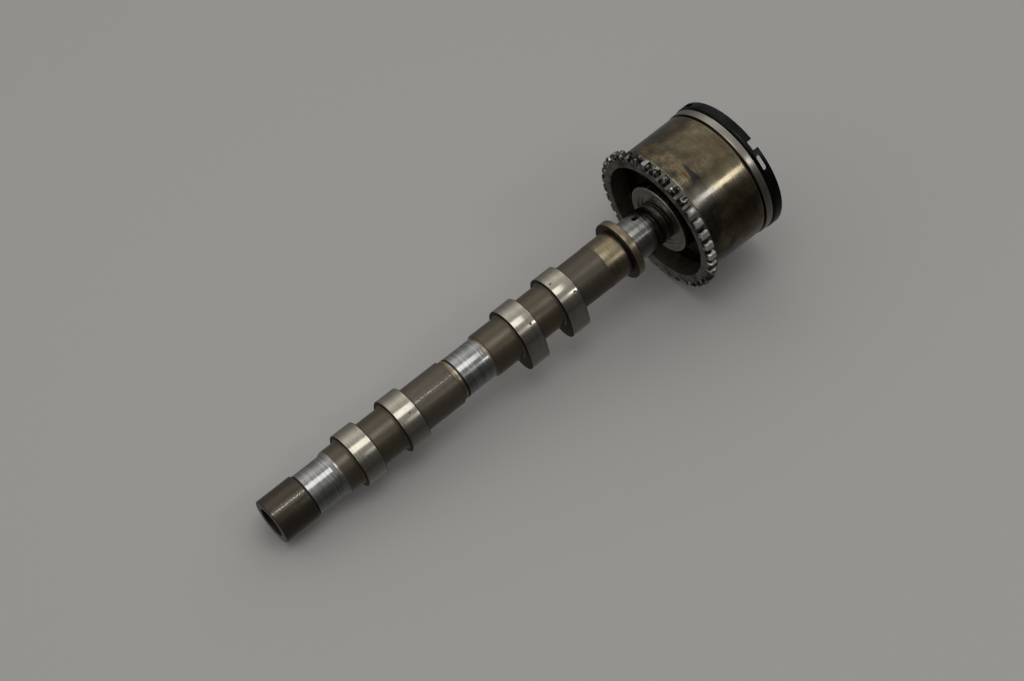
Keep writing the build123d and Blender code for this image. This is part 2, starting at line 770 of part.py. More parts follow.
# Lock pin, its spring, cap and bush: the pin is drawn back, as under oil pressure
lock_pin_start = core_start + lock_pin_retraction
lock_pin_end = lock_pin_start + lock_pin_length
lock_cap_start = core_start + core_length - lock_cap_thickness
with BuildPart() as lock_pin:
    with BuildSketch(at_station(lock_pin_start)):
        with Locations(lock_pin_center):
            Circle(lock_pin_radius)
    extrude(amount=lock_pin_length)
    chamfer(lock_pin.edges().group_by(Axis.X)[0], lock_pin_tip_taper)
    with BuildSketch(at_station(lock_pin_end)):
        with Locations(lock_pin_center):
            Circle(lock_spring_bore / 2)
    extrude(amount=-lock_spring_bore_depth, mode=Mode.SUBTRACT)
lock_pin.part.label = "lock_pin"

with BuildPart() as lock_cap:
    with BuildSketch(at_station(lock_cap_start)):
        with Locations(lock_pin_center):
            Circle(lock_pin_radius)
    extrude(amount=lock_cap_thickness)
lock_cap.part.label = "lock_cap"

spring_floor = lock_pin_end - lock_spring_bore_depth + axial_clearance
spring_height = lock_cap_start - spring_floor - axial_clearance
spring_path_radius = lock_spring_bore / 2 - lock_spring_wire / 2 - bearing_clearance
spring_rise = spring_height - lock_spring_wire
spring_foot = at_station(spring_floor + lock_spring_wire / 2).from_local_coords(lock_pin_center)
with BuildPart() as lock_spring:
    with BuildLine() as spring_path:
        Helix(
            spring_rise / lock_spring_turns,
            spring_rise,
            spring_path_radius,
            center=spring_foot,
            direction=axis_direction,
        )
    with BuildSketch(
        Plane(origin=spring_path.edges()[0] @ 0, z_dir=spring_path.edges()[0] % 0)
    ):
        RegularPolygon(lock_spring_wire / 2, lock_spring_wire_sides)
    sweep(path=spring_path.edges()[0], is_frenet=True)
lock_spring.part.label = "lock_spring"

with BuildPart() as lock_bush:
    with BuildSketch(at_station(chamber_start - lock_bush_length)):
        with Locations(lock_pin_center):
            Circle(lock_bush_radius - slip_clearance)
            Circle(lock_pin_radius + 2 * bearing_clearance, mode=Mode.SUBTRACT)
    extrude(amount=lock_bush_length)
lock_bush.part.label = "lock_bush"

shaft_pieces = [camshaft, rotor, nose_dowel, trigger_wheel, wheel_dowel, bolt_washer]
shaft_pieces += [center_bolt, lock_pin, lock_cap, lock_spring]
shaft_pieces += vane_seals + vane_springs
drum_pieces = [sprocket_ring, stator_housing, inner_plate, outer_cover, cover_bolts]
drum_pieces += [stator_dowels, lock_bush]
drum_pieces += stator_seals + stator_springs

for piece in shaft_pieces + drum_pieces:
    export_step(piece.part, f"parts/{piece.part.label}.step")
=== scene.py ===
"""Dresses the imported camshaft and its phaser: meshes, finishes, light and camera.

Sizes are millimetres and degrees. A station is a distance along the shaft's axis from its open
end. An angle turns about that axis, from +Y at 0 to the top at 90. Meshes are made in these
shaft coordinates, as (station, across, up), and are then carried to the frame, in metres.
"""

import json
import logging
import math
from dataclasses import dataclass
from enum import Enum
from typing import Any, Callable, Iterable, Mapping, Optional, Sequence, Union

import bmesh
import bpy
from mathutils import Matrix, Vector


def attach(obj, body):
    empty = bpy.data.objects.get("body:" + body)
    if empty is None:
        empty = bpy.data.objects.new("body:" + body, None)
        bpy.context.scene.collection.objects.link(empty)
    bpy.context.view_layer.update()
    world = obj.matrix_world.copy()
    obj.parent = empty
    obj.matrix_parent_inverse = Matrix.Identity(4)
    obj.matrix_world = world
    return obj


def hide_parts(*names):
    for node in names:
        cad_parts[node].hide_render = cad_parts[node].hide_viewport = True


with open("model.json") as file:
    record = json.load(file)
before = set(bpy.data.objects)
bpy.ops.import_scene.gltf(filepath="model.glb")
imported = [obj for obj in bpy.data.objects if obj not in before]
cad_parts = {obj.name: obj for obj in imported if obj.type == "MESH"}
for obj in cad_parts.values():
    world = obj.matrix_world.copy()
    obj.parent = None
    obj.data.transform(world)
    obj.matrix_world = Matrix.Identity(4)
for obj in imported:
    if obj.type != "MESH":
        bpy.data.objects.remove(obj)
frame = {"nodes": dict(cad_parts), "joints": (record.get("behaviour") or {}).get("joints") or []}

MM = 0.001
ROUND_SIDES = 192
HOLE_SIDES = 48
CORNER_STEPS = 5
SMOOTH_ANGLE = 32.0
JOINT_STATION = 300.0

log = logging.getLogger("camshaft")

Number = Union[int, float]
Colour = tuple[float, float, float]
Point2 = tuple[float, float]
Point3 = tuple[float, float, float]
Stop = tuple[float, Colour]


class Body(Enum):
    """The two bodies that turn against each other."""

    SHAFT = "shaft"
    DRUM = "phaser_drum"


class Slot(Enum):
    """The record's material slots."""

    CAST_SHAFT = "cast_shaft"
    ROTOR = "rotor_steel"
    RING = "ring_steel"
    DRUM = "drum_steel"
    PLATE = "plate_steel"
    COVER = "cover_steel"
    WHEEL = "wheel_steel"
    FASTENER = "fastener_steel"
    HARDENED = "hardened_steel"
    SPRING = "spring_steel"
    SEAL = "seal_plastic"


@dataclass(frozen=True)
class ShaftPlan:
    """Sizes of the casting that its outline and its finishes share.

    A pair is the first and the last station of what it names.

    Attributes:
        stub_end: Where the stub at the open end stops.
        first_journal: The journal beside it.
        first_web: Where the web before the lobes reaches its full radius.
        second_web: Past it, the web before the middle journal is paler.
        second_web_end: Where that web stops.
        ring_land: The narrow land before the middle journal.
        middle_journal: The journal between the lobe pairs.
        third_web: Where the web after it starts.
        front_web: Where the web before the thrust land starts.
        thrust_land: The golden thrust land.
        collar: The collar.
        nose: The nose with its journal.
        covered_nose: Past it, the hub covers the nose.
        bore_end: The drilled tip of the bore.
        thread: The centre bolt's thread.
        first_lobe: Middle of the first lobe.
        pair_spacing: Distance between the two lobes of a cylinder.
        cylinder_pitch: Distance between the cylinders.
        lobe_width: Width of a lobe.
        base_radius: Radius of a lobe's base circle.
    """

    stub_end: float = 22.2
    first_journal: Point2 = (23.2, 40.2)
    first_web: float = 42.5
    second_web: float = 97.0
    second_web_end: float = 123.2
    ring_land: Point2 = (124.7, 125.7)
    middle_journal: Point2 = (126.7, 146.1)
    third_web: float = 147.6
    front_web: float = 208.9
    thrust_land: Point2 = (231.0, 245.8)
    collar: Point2 = (247.0, 251.8)
    nose: Point2 = (252.8, 300.0)
    covered_nose: float = 281.0
    bore_end: Point2 = (236.0, 241.1)
    thread: Point2 = (246.0, 264.0)
    first_lobe: float = 59.2
    pair_spacing: float = 30.4
    cylinder_pitch: float = 113.0
    lobe_width: float = 13.0
    base_radius: float = 16.6

    @property
    def lobes(self) -> list[float]:
        """Middle stations of the lobes."""
        return [
            self.first_lobe + pair * self.cylinder_pitch + number * self.pair_spacing
            for pair in range(2)
            for number in range(2)
        ]


@dataclass(frozen=True)
class PhaserPlan:
    """Sizes of the phaser that several pieces and finishes share.

    Attributes:
        hub_face: Station of the hub's face.
        seam: Station where the sprocket ring meets the drum.
        chamber_start: Station where the chambers start.
        drum_end: Station of the drum's outer edge.
        drum_radius: Outside radius of the drum.
        groove_end: Station where the cover's foot groove ends.
        wheel_back: Station where the trigger wheel seats.
        wheel_radius: Outside radius of the trigger wheel.
        passage_radius: Radius of the oil passage round the centre bolt.
        seal_groove: Depth and half width of a seal's groove.
        dowel_hole: Radius of a dowel's hole.
    """

    hub_face: float = 278.5
    seam: float = 283.7
    chamber_start: float = 300.0
    drum_end: float = 322.6
    drum_radius: float = 41.1
    groove_end: float = 324.2
    wheel_back: float = 329.2
    wheel_radius: float = 42.3
    passage_radius: float = 6.75
    seal_groove: Point2 = (2.4, 1.03)
    dowel_hole: float = 1.53


SHAFT = ShaftPlan()
PHASER = PhaserPlan()


@dataclass(frozen=True)
class ShaftLine:
    """The shaft's axis in the frame.

    Attributes:
        start: The point of the axis at station 0, in metres.
        along: Unit vector along the axis, towards the phaser.
    """

    start: Vector
    along: Vector

    @classmethod
    def from_joint(cls, joint: Mapping[str, Any], station: float) -> "ShaftLine":
        """Reads the line from the phaser's hinge.

        Args:
            joint: The hinge, whose axis is the shaft's.
            station: The station of the hinge's position.

        Returns:
            The line of the shaft.
        """
        along = Vector(joint["axis"]).normalized()
        return cls(Vector(joint["pos_m"]) - along * station * MM, along)

    @property
    def across(self) -> Vector:
        """Unit vector at angle 0."""
        return Vector((0.0, 1.0, 0.0))

    @property
    def up(self) -> Vector:
        """Unit vector at angle 90."""
        return self.along.cross(self.across)

    @property
    def tilt(self) -> float:
        """Climb of the axis, in radians."""
        return math.asin(self.along.z)

    def to_frame(self) -> Matrix:
        """Matrix from shaft coordinates in millimetres to the frame in metres."""
        turn = Matrix((self.along, self.across, self.up)).transposed().to_4x4()
        return Matrix.Translation(self.start) @ turn @ Matrix.Scale(MM, 4)

    def point(self, station: float, radius: float = 0.0, angle: float = 0.0) -> Vector:
        """Point of the frame at a station, radius and angle."""
        side, rise = polar(radius, angle)
        return self.to_frame() @ Vector((station, side, rise))


def polar(radius: float, angle: float) -> Point2:
    """Across and up at a radius and an angle."""
    return radius * math.cos(math.radians(angle)), radius * math.sin(math.radians(angle))


@dataclass(frozen=True)
class Corner:
    """One corner of an outline.

    Attributes:
        x: Station of a turned outline, or across of a section.
        y: Radius of a turned outline, or up of a section.
        round: Radius that the corner is rounded to.
    """

    x: float
    y: float
    round: float = 0.0


def rounded(corners: Sequence[Corner]) -> list[Point2]:
    """Outline with arcs at its rounded corners.

    Args:
        corners: The corners in order. The ends of an open outline have no rounding.

    Returns:
        The outline's points.
    """
    points: list[Point2] = []
    for index, corner in enumerate(corners):
        here = Vector((corner.x, corner.y))
        if corner.round == 0:
            points.append((here.x, here.y))
            continue
        before = corners[index - 1]
        after = corners[(index + 1) % len(corners)]
        back = Vector((before.x, before.y)) - here
        ahead = Vector((after.x, after.y)) - here
        half = back.angle(ahead) / 2
        leg = min(corner.round / math.tan(half), 0.48 * back.length, 0.48 * ahead.length)
        middle = (back.normalized() + ahead.normalized()).normalized()
        center = here + middle * (leg / math.cos(half))
        first = here + back.normalized() * leg - center
        last = here + ahead.normalized() * leg - center
        start = math.atan2(first.y, first.x)
        turn = math.remainder(math.atan2(last.y, last.x) - start, math.tau)
        for step in range(CORNER_STEPS + 1):
            angle = start + turn * step / CORNER_STEPS
            points.append(
                (
                    center.x + first.length * math.cos(angle),
                    center.y + first.length * math.sin(angle),
                )
            )
    return points


def make_object(name: str, points: Iterable[Point3], faces: Iterable[Sequence[int]]) -> bpy.types.Object:
    """Object in the scene with a mesh of its own.

    Args:
        name: The piece's name.
        points: Corner points in shaft coordinates.
        faces: Corner numbers of each face.

    Returns:
        The new object.
    """
    mesh = bpy.data.meshes.new(name)
    mesh.from_pydata(list(points), [], [tuple(face) for face in faces])
    mesh.validate()
    piece = bpy.data.objects.new(name, mesh)
    bpy.context.scene.collection.objects.link(piece)
    return piece


def skin(rings: int, count: int, closed: bool) -> list[Sequence[int]]:
    """Four-sided faces between neighbouring rings of points.

    Args:
        rings: How many rings there are.
        count: Points of each ring.
        closed: Whether the last ring also joins the first.

    Returns:
        The faces.
    """
    faces: list[Sequence[int]] = []
    for ring in range(rings if closed else rings - 1):
        a, b = ring * count, (ring + 1) % rings * count
        for side in range(count):
            step = (side + 1) % count
            faces.append((a + side, b + side, b + step, a + step))
    return faces


def lofted(name: str, rings: Sequence[Sequence[Point3]], closed: bool = False) -> bpy.types.Object:
    """Solid through rings of points.

    Args:
        name: The piece's name.
        rings: The rings, each with as many points.
        closed: Whether the last ring joins the first, which leaves a hole and no flat ends.

    Returns:
        The new object.
    """
    count = len(rings[0])
    points = [point for ring in rings for point in ring]
    last = len(points) - 1
    ends: list[Sequence[int]] = [] if closed else [range(count), range(last, last - count, -1)]
    return face_outwards(make_object(name, points, ends + skin(len(rings), count, closed)))


def turned(name: str, corners: Sequence[Corner]) -> bpy.types.Object:
    """Solid of revolution about the shaft's axis, closed at the axis or as a ring.

    Args:
        name: The piece's name.
        corners: The outline as (station, radius).

    Returns:
        The new object.
    """
    outline = rounded(corners)
    capped = outline[0][1] == 0 and outline[-1][1] == 0
    angles = [360 * side / ROUND_SIDES for side in range(ROUND_SIDES)]
    places = outline[1:-1] if capped else outline
    rings = [[(station, *polar(radius, angle)) for angle in angles] for station, radius in places]
    if not capped:
        return lofted(name, rings, closed=True)
    points = [point for ring in rings for point in ring]
    faces = skin(len(rings), ROUND_SIDES, closed=False)
    first, final = len(points), len(points) + 1
    points += [(outline[0][0], 0.0, 0.0), (outline[-1][0], 0.0, 0.0)]
    end = (len(rings) - 1) * ROUND_SIDES
    for side in range(ROUND_SIDES):
        step = (side + 1) % ROUND_SIDES
        faces.append((first, side, step))
        faces.append((final, end + step, end + side))
    return face_outwards(make_object(name, points, faces))


def prism(name: str, outline: Sequence[Point2], start: float, end: float) -> bpy.types.Object:
    """Block with a constant section, square to the axis.

    Args:
        name: The piece's name.
        outline: The section as (across, up).
        start: First station.
        end: Last station.

    Returns:
        The new object.
    """
    return lofted(name, [[(station, *place) for place in outline] for station in (start, end)])


def sector(inner: float, outer: float, center: float, width: float, steps: int = 16) -> list[Point2]:
    """Section of a ring sector.

    Args:
        inner: Inner radius.
        outer: Outer radius.
        center: Angle of its middle.
        width: Angle that it spans.
        steps: Straight steps of each arc.

    Returns:
        The section's points.
    """
    angles = [center - width / 2 + width * step / steps for step in range(steps + 1)]
    return [polar(inner, a) for a in angles] + [polar(outer, a) for a in reversed(angles)]


def pin(name: str, radius: float, start: float, end: float, at: Point2 = (0.0, 0.0)) -> bpy.types.Object:
    """Plain cylinder along the axis, at a radius and an angle."""
    side, rise = polar(*at)
    circle = [polar(radius, 360 * step / HOLE_SIDES) for step in range(HOLE_SIDES)]
    return prism(name, [(side + y, rise + z) for y, z in circle], start, end)


def face_outwards(piece: bpy.types.Object) -> bpy.types.Object:
    """Turns every face of a closed piece outwards."""
    shell = bmesh.new()
    shell.from_mesh(piece.data)
    bmesh.ops.recalc_face_normals(shell, faces=shell.faces)
    shell.to_mesh(piece.data)
    shell.free()
    return piece


def settle(piece: bpy.types.Object) -> bpy.types.Object:
    """Bakes a piece's modifiers into its mesh and removes them."""
    graph = bpy.context.evaluated_depsgraph_get()
    graph.update()
    mesh = bpy.data.meshes.new_from_object(piece.evaluated_get(graph), depsgraph=graph)
    mesh.name = piece.name
    piece.modifiers.clear()
    piece.data = mesh
    return piece


def carve(piece: bpy.types.Object, cutters: Sequence[bpy.types.Object]) -> bpy.types.Object:
    """Cuts solids out of a piece.

    Args:
        piece: The piece to cut.
        cutters: Closed solids, which are used up.

    Returns:
        The piece.
    """
    for cutter in cutters:
        modifier = piece.modifiers.new("cut", "BOOLEAN")
        modifier.operation = "DIFFERENCE"
        modifier.solver = "EXACT"
        modifier.object = cutter
    settle(piece)
    for cutter in cutters:
        bpy.data.objects.remove(cutter)
    return piece


@dataclass(frozen=True)
class Signal:
    """A node's output that can be used in Python expressions on values."""

    bench: "NodeBench"
    socket: bpy.types.NodeSocket

    def __add__(self, other: "Value") -> "Signal":
        """Sum."""
        return self.bench.math("ADD", self, other)

    def __radd__(self, other: "Value") -> "Signal":
        """Sum with a plain number first."""
        return self.bench.math("ADD", other, self)

    def __sub__(self, other: "Value") -> "Signal":
        """Difference."""
        return self.bench.math("SUBTRACT", self, other)

    def __rsub__(self, other: "Value") -> "Signal":
        """Difference from a plain number."""
        return self.bench.math("SUBTRACT", other, self)

    def __mul__(self, other: "Value") -> "Signal":
        """Product."""
        return self.bench.math("MULTIPLY", self, other)

    def __rmul__(self, other: "Value") -> "Signal":
        """Product with a plain number first."""
        return self.bench.math("MULTIPLY", other, self)

    def __truediv__(self, other: "Value") -> "Signal":
        """Quotient."""
        return self.bench.math("DIVIDE", self, other)

    def clamped(self) -> "Signal":
        """The same value held between 0 and 1."""
        return self.bench.math("MAXIMUM", self.bench.math("MINIMUM", self, 1.0), 0.0)


Value = Union[Signal, Number]


class NodeBench:
    """Places nodes in one tree and joins them."""

    def __init__(self, tree: bpy.types.NodeTree) -> None:
        """Starts with an empty tree.

        Args:
            tree: The tree to fill.
        """
        self.tree = tree
        self.tree.nodes.clear()

    @staticmethod
    def pick(sockets: Any, key: Union[int, str]) -> bpy.types.NodeSocket:
        """Finds a socket.

        Args:
            sockets: A node's inputs or outputs.
            key: Its number, its identifier or its name.

        Returns:
            The socket.
        """
        if isinstance(key, int):
            return sockets[key]
        for socket in sockets:
            if socket.identifier == key:
                return socket
        return sockets[key]

    def place(
        self,
        kind: str,
        settings: Optional[Mapping[str, Any]] = None,
        sockets: Optional[Mapping[Union[int, str], Any]] = None,
    ) -> bpy.types.Node:
        """Makes a node.

        Args:
            kind: The node's type.
            settings: Properties, which are set first, and a ramp's stops.
            sockets: Values or links of its inputs.

        Returns:
            The node.
        """
        node = self.tree.nodes.new(kind)
        for name, value in (settings or {}).items():
            if name == "stops":
                self.set_stops(node.color_ramp, value)
            elif name == "ramp_mode":
                node.color_ramp.interpolation = value
            else:
                setattr(node, name, value)
        for key, value in (sockets or {}).items():
            socket = self.pick(node.inputs, key)
            if isinstance(value, Signal):
                self.tree.links.new(value.socket, socket)
            elif isinstance(value, bpy.types.NodeSocket):
                self.tree.links.new(value, socket)
            else:
                socket.default_value = value
        return node

    @staticmethod
    def set_stops(ramp: bpy.types.ColorRamp, stops: Sequence[Stop]) -> None:
        """Fills a colour ramp with stops of place and colour."""
        while len(ramp.elements) > 1:
            ramp.elements.remove(ramp.elements[-1])
        for index, (place, colour) in enumerate(stops):
            element = ramp.elements[0] if index == 0 else ramp.elements.new(place)
            element.position = place
            element.color = (*colour, 1.0)

    def out(self, node: bpy.types.Node, key: Union[int, str] = 0) -> Signal:
        """One output of a node."""
        return Signal(self, self.pick(node.outputs, key))

    def math(self, operation: str, *values: Value) -> Signal:
        """Adds a Math node.

        Args:
            operation: The node's operation.
            values: Its one, two or three values.

        Returns:
            The result.
        """
        node = self.place("ShaderNodeMath", {"operation": operation}, dict(enumerate(values)))
        return self.out(node)

    def step(self, value: Value, low: Value, high: Value) -> Signal:
        """Smooth step from 0 at low to 1 at high."""
        node = self.place(
            "ShaderNodeMapRange",
            {"interpolation_type": "SMOOTHSTEP"},
            {"Value": value, "From Min": low, "From Max": high},
        )
        return self.out(node, "Result")

    def total(self, signals: Sequence[Signal]) -> Signal:
        """Sum of several values."""
        result, *others = signals
        for other in others:
            result = result + other
        return result


class GeometryBench(NodeBench):
    """A geometry node tree with named inputs, run once on an empty mesh."""

    def __init__(self, name: str) -> None:
        """Starts a geometry tree.

        Args:
            name: The tree's name.
        """
        super().__init__(bpy.data.node_groups.new(name, "GeometryNodeTree"))
        self.tree.interface.new_socket("Geometry", in_out="OUTPUT", socket_type="NodeSocketGeometry")
        self.entry = self.place("NodeGroupInput")
        self.identifiers: dict[str, str] = {}

    def ask(self, name: str, kind: str) -> Signal:
        """Adds a named input to the tree.

        Args:
            name: The input's name.
            kind: Its socket type without the common first part, such as Float.

        Returns:
            The input's value inside the tree.
        """
        socket = self.tree.interface.new_socket(name, in_out="INPUT", socket_type=f"NodeSocket{kind}")
        self.identifiers[name] = socket.identifier
        return self.out(self.entry, socket.identifier)

    def scatter(self, count: Signal, place: Signal, turn: Signal, item: Signal, finish: Signal) -> None:
        """Ends the tree with real copies of an item.

        Args:
            count: How many copies.
            place: Place of each copy, in shaft coordinates.
            turn: Angle of each copy about the axis, in degrees.
            item: The object to copy.
            finish: The material of the copies.
        """
        points = self.place("GeometryNodePoints", sockets={"Count": count, "Position": place})
        euler = self.place("ShaderNodeCombineXYZ", sockets={"X": self.math("RADIANS", turn)})
        rotation = self.place("FunctionNodeEulerToRotation", sockets={0: self.out(euler)})
        info = self.place("GeometryNodeObjectInfo", sockets={"Object": item})
        copies = self.place(
            "GeometryNodeInstanceOnPoints",
            sockets={
                "Points": self.out(points),
                "Instance": self.out(info, "Geometry"),
                "Rotation": self.out(rotation),
            },
        )
        real = self.place("GeometryNodeRealizeInstances", sockets={0: self.out(copies)})
        dressed = self.place(
            "GeometryNodeSetMaterial", sockets={"Geometry": self.out(real), "Material": finish}
        )
        self.place("NodeGroupOutput", sockets={0: self.out(dressed)})

    def run(self, name: str, values: Mapping[str, Any]) -> bpy.types.Object:
        """Runs the tree with the given inputs.

        Args:
            name: Name of the piece it makes.
            values: Value of each named input.

        Returns:
            The piece, as a plain mesh.
        """
        holder = make_object(name, [], [])
        modifier = holder.modifiers.new("repeat", "NODES")
        modifier.node_group = self.tree
        for key, value in values.items():
            modifier[self.identifiers[key]] = value
        return settle(holder)


class PolarRow(GeometryBench):
    """Copies of one item about the axis, with a little seeded wear."""

    def __init__(self) -> None:
        """Builds the tree."""
        super().__init__("polar_row")
        item = self.ask("Item", "Object")
        count = self.ask("Count", "Int")
        first = self.ask("First angle", "Float")
        step = self.ask("Step angle", "Float")
        wear = self.ask("Wear", "Float")
        seed = self.ask("Seed", "Int")
        finish = self.ask("Finish", "Material")
        index = self.out(self.place("GeometryNodeInputIndex"))
        turn = first + index * step
        draw = self.place(
            "FunctionNodeRandomValue",
            {"data_type": "FLOAT"},
            {"Min_001": 0.0, "Max_001": 1.0, "ID": index, "Seed": seed},
        )
        sunk = self.out(draw, "Value_001") * wear * -1.0
        angle = self.math("RADIANS", turn)
        place = self.place(
            "ShaderNodeCombineXYZ",
            sockets={
                "Y": sunk * self.math("COSINE", angle),
                "Z": sunk * self.math("SINE", angle),
            },
        )
        self.scatter(count, self.out(place), turn, item, finish)


class LobeRow(GeometryBench):
    """Cam lobes in pairs, one pair for each cylinder."""

    def __init__(self) -> None:
        """Builds the tree."""
        super().__init__("lobe_row")
        item = self.ask("Lobe", "Object")
        count = self.ask("Count", "Int")
        first = self.ask("First station", "Float")
        spacing = self.ask("Pair spacing", "Float")
        pitch = self.ask("Cylinder pitch", "Float")
        nose = self.ask("Nose angle", "Float")
        lead = self.ask("Open end lead", "Float")
        finish = self.ask("Finish", "Material")
        index = self.out(self.place("GeometryNodeInputIndex"))
        pair = self.math("FLOOR", index / 2.0)
        in_pair = index - pair * 2.0
        station = first + pair * pitch + in_pair * spacing
        place = self.place("ShaderNodeCombineXYZ", sockets={"X": station})
        turn = nose + (1.0 - pair) * lead
        self.scatter(count, self.out(place), turn, item, finish)


class Canvas(NodeBench):
    """A material's nodes, with shaft coordinates in millimetres."""

    def __init__(self, name: str, line: ShaftLine) -> None:
        """Starts a material with its shader and its coordinates.

        Args:
            name: The material's name.
            line: The shaft's line, which the coordinates follow.
        """
        self.material = bpy.data.materials.new(name)
        self.material.use_nodes = True
        super().__init__(self.material.node_tree)
        self.shader = self.place("ShaderNodeBsdfPrincipled")
        self.place("ShaderNodeOutputMaterial", sockets={"Surface": self.shader.outputs["BSDF"]})
        place = self.place("ShaderNodeTexCoord")
        mapped = self.place(
            "ShaderNodeMapping",
            {"vector_type": "TEXTURE"},
            {
                "Vector": place.outputs["Object"],
                "Location": line.start,
                "Rotation": (0.0, -line.tilt, 0.0),
                "Scale": (MM, MM, MM),
            },
        )
        self.place_mm = self.out(mapped)
        split = self.place("ShaderNodeSeparateXYZ", sockets={0: self.place_mm})
        self.station = self.out(split, "X")
        self.across = self.out(split, "Y")
        self.up = self.out(split, "Z")
        self.radius = self.math("SQRT", self.across * self.across + self.up * self.up)
        self.angle = self.math("DEGREES", self.math("ARCTAN2", self.up, self.across))

    def vector(self, x: Value, y: Value, z: Value) -> Signal:
        """Joins three values to a vector."""
        return self.out(self.place("ShaderNodeCombineXYZ", sockets={"X": x, "Y": y, "Z": z}))

    def noise(
        self, scale: float, detail: float = 3.0, rough: float = 0.55, place: Optional[Signal] = None
    ) -> Signal:
        """Cloudy pattern between 0 and 1.

        Args:
            scale: Clouds in each millimetre.
            detail: Octaves.
            rough: Strength of the finer octaves.
            place: Vector to read it at, the shaft coordinates if not given.

        Returns:
            The pattern, about 0.5.
        """
        node = self.place(
            "ShaderNodeTexNoise",
            sockets={
                "Vector": place or self.place_mm,
                "Scale": scale,
                "Detail": detail,
                "Roughness": rough,
            },
        )
        return self.out(node, "Fac")

    def tool_lines(self, pitch: float, waver: float = 0.02) -> Signal:
        """Fine lines round the axis, as a lathe or a grinder leaves on sides and end faces.

        Args:
            pitch: Rough distance between lines.
            waver: How fast the lines change along their turn.

        Returns:
            The pattern, about 0.5.
        """
        travel = (self.station + self.radius) / pitch
        turn = self.math("SINE", self.math("RADIANS", self.angle)) * waver * self.radius
        other = self.math("COSINE", self.math("RADIANS", self.angle)) * waver * self.radius
        return self.noise(1.0, 3.0, 0.6, self.vector(travel, turn, other))

    def band(self, value: Signal, low: float, high: float, soft: float) -> Signal:
        """1 between two values, with soft ends."""
        rise = self.step(value, low - soft, low + soft)
        fall = self.step(value, high - soft, high + soft)
        return rise * (1.0 - fall)

    def grime(self, clouds: Signal, share: float) -> Signal:
        """1 where a share of the clouds is dirty, and 0 on clean metal."""
        return self.step(clouds, 0.75 - share, 0.95 - share * 0.6)

    def spot(self, station: float, angle: float, radius: float, size: Point2) -> Signal:
        """1 at a place on the surface, fading to 0 at its edge.

        Args:
            station: Station of its middle.
            angle: Angle of its middle.
            radius: Radius of the surface there.
            size: Half its length along the axis and half its width round it.

        Returns:
            The spot.
        """
        out_side, out_rise = polar(1.0, angle)
        along = (self.station - station) / size[0]
        width = self.round_way(radius, angle) / size[1]
        wobble = (self.noise(0.45, 2.0) - 0.5) * 0.7
        far = self.math("SQRT", along * along + width * width) + wobble
        outer = self.step(self.radius, radius - 2.0, radius - 1.0)
        facing = self.step(self.across * out_side + self.up * out_rise, 0.0, 1.0)
        return (1.0 - self.step(far, 0.6, 1.1)) * outer * facing

    def round_way(self, radius: float, angle: float) -> Signal:
        """Distance round the axis from an angle, for places near it."""
        side, rise = polar(radius, angle)
        way_side, way_rise = polar(1.0, angle + 90)
        return (self.across - side) * way_side + (self.up - rise) * way_rise

    def ramp(self, value: Signal, stops: Sequence[Stop], mode: str = "LINEAR") -> Signal:
        """Colour by value, through a ramp's stops."""
        node = self.place("ShaderNodeValToRGB", {"stops": stops, "ramp_mode": mode}, {"Fac": value})
        return self.out(node, "Color")

    def mix(self, share: Value, first: Any, second: Any, blend: str = "MIX") -> Signal:
        """Mixes two colours.

        Args:
            share: Share of the second.
            first: A colour or its signal.
            second: A colour or its signal.
            blend: How the second is laid over the first.

        Returns:
            The mixed colour.
        """
        values = [(*c, 1.0) if isinstance(c, tuple) else c for c in (first, second)]
        node = self.place(
            "ShaderNodeMix",
            {"data_type": "RGBA", "blend_type": blend, "clamp_factor": True},
            {"Factor_Float": share, "A_Color": values[0], "B_Color": values[1]},
        )
        return self.out(node, "Result_Color")

    def shade(self, colour: Signal, amount: Value) -> Signal:
        """Scales a colour by a value."""
        grey = self.place("ShaderNodeCombineColor", sockets={0: amount, 1: amount, 2: amount})
        return self.mix(1.0, colour, self.out(grey), "MULTIPLY")

    def bump(self, height: Signal, depth_mm: float, below: Optional[Signal] = None) -> Signal:
        """Tilts the surface by a height pattern.

        Args:
            height: The pattern, from 0 to 1.
            depth_mm: Real depth from 0 to 1.
            below: A normal from an earlier bump.

        Returns:
            The normal.
        """
        sockets: dict[Union[int, str], Any] = {"Height": height, "Distance": depth_mm * MM}
        if below is not None:
            sockets["Normal"] = below
        return self.out(self.place("ShaderNodeBump", sockets=sockets))

    def finish(
        self,
        colour: Any,
        roughness: Value,
        normal: Optional[Signal] = None,
        metallic: Value = 1.0,
        **constants: float,
    ) -> None:
        """Joins the patterns to the shader.

        Args:
            colour: Base colour.
            roughness: Roughness.
            normal: Normal, if the surface has relief.
            metallic: How metallic it is.
            constants: Values of other sockets, with spaces written as underscores.
        """
        links: dict[str, Any] = {"Base Color": colour, "Roughness": roughness, "Metallic": metallic}
        if normal is not None:
            links["Normal"] = normal
        for name, value in links.items():
            socket = self.shader.inputs[name]
            if isinstance(value, Signal):
                self.tree.links.new(value.socket, socket)
            else:
                socket.default_value = (*value, 1.0) if isinstance(value, tuple) else value
        for name, value in constants.items():
            wanted = name.replace("_", " ")
            socket = next(s for s in self.shader.inputs if s.name.lower() == wanted)
            socket.default_value = value


@dataclass(frozen=True)
class Zone:
    """The finish of the shaft from one station to the next zone.

    Attributes:
        start: First station.
        colour: Reflected colour.
        roughness: Roughness.
        cast: Share of cast grain, from 0 to 1.
        ground: Share of grinding lines, from 0 to 1.
        glint: Share of polished specks and of the painted highlight line, from 0 to 1.
    """

    start: float
    colour: Colour
    roughness: float
    cast: float
    ground: float
    glint: float = 0.0


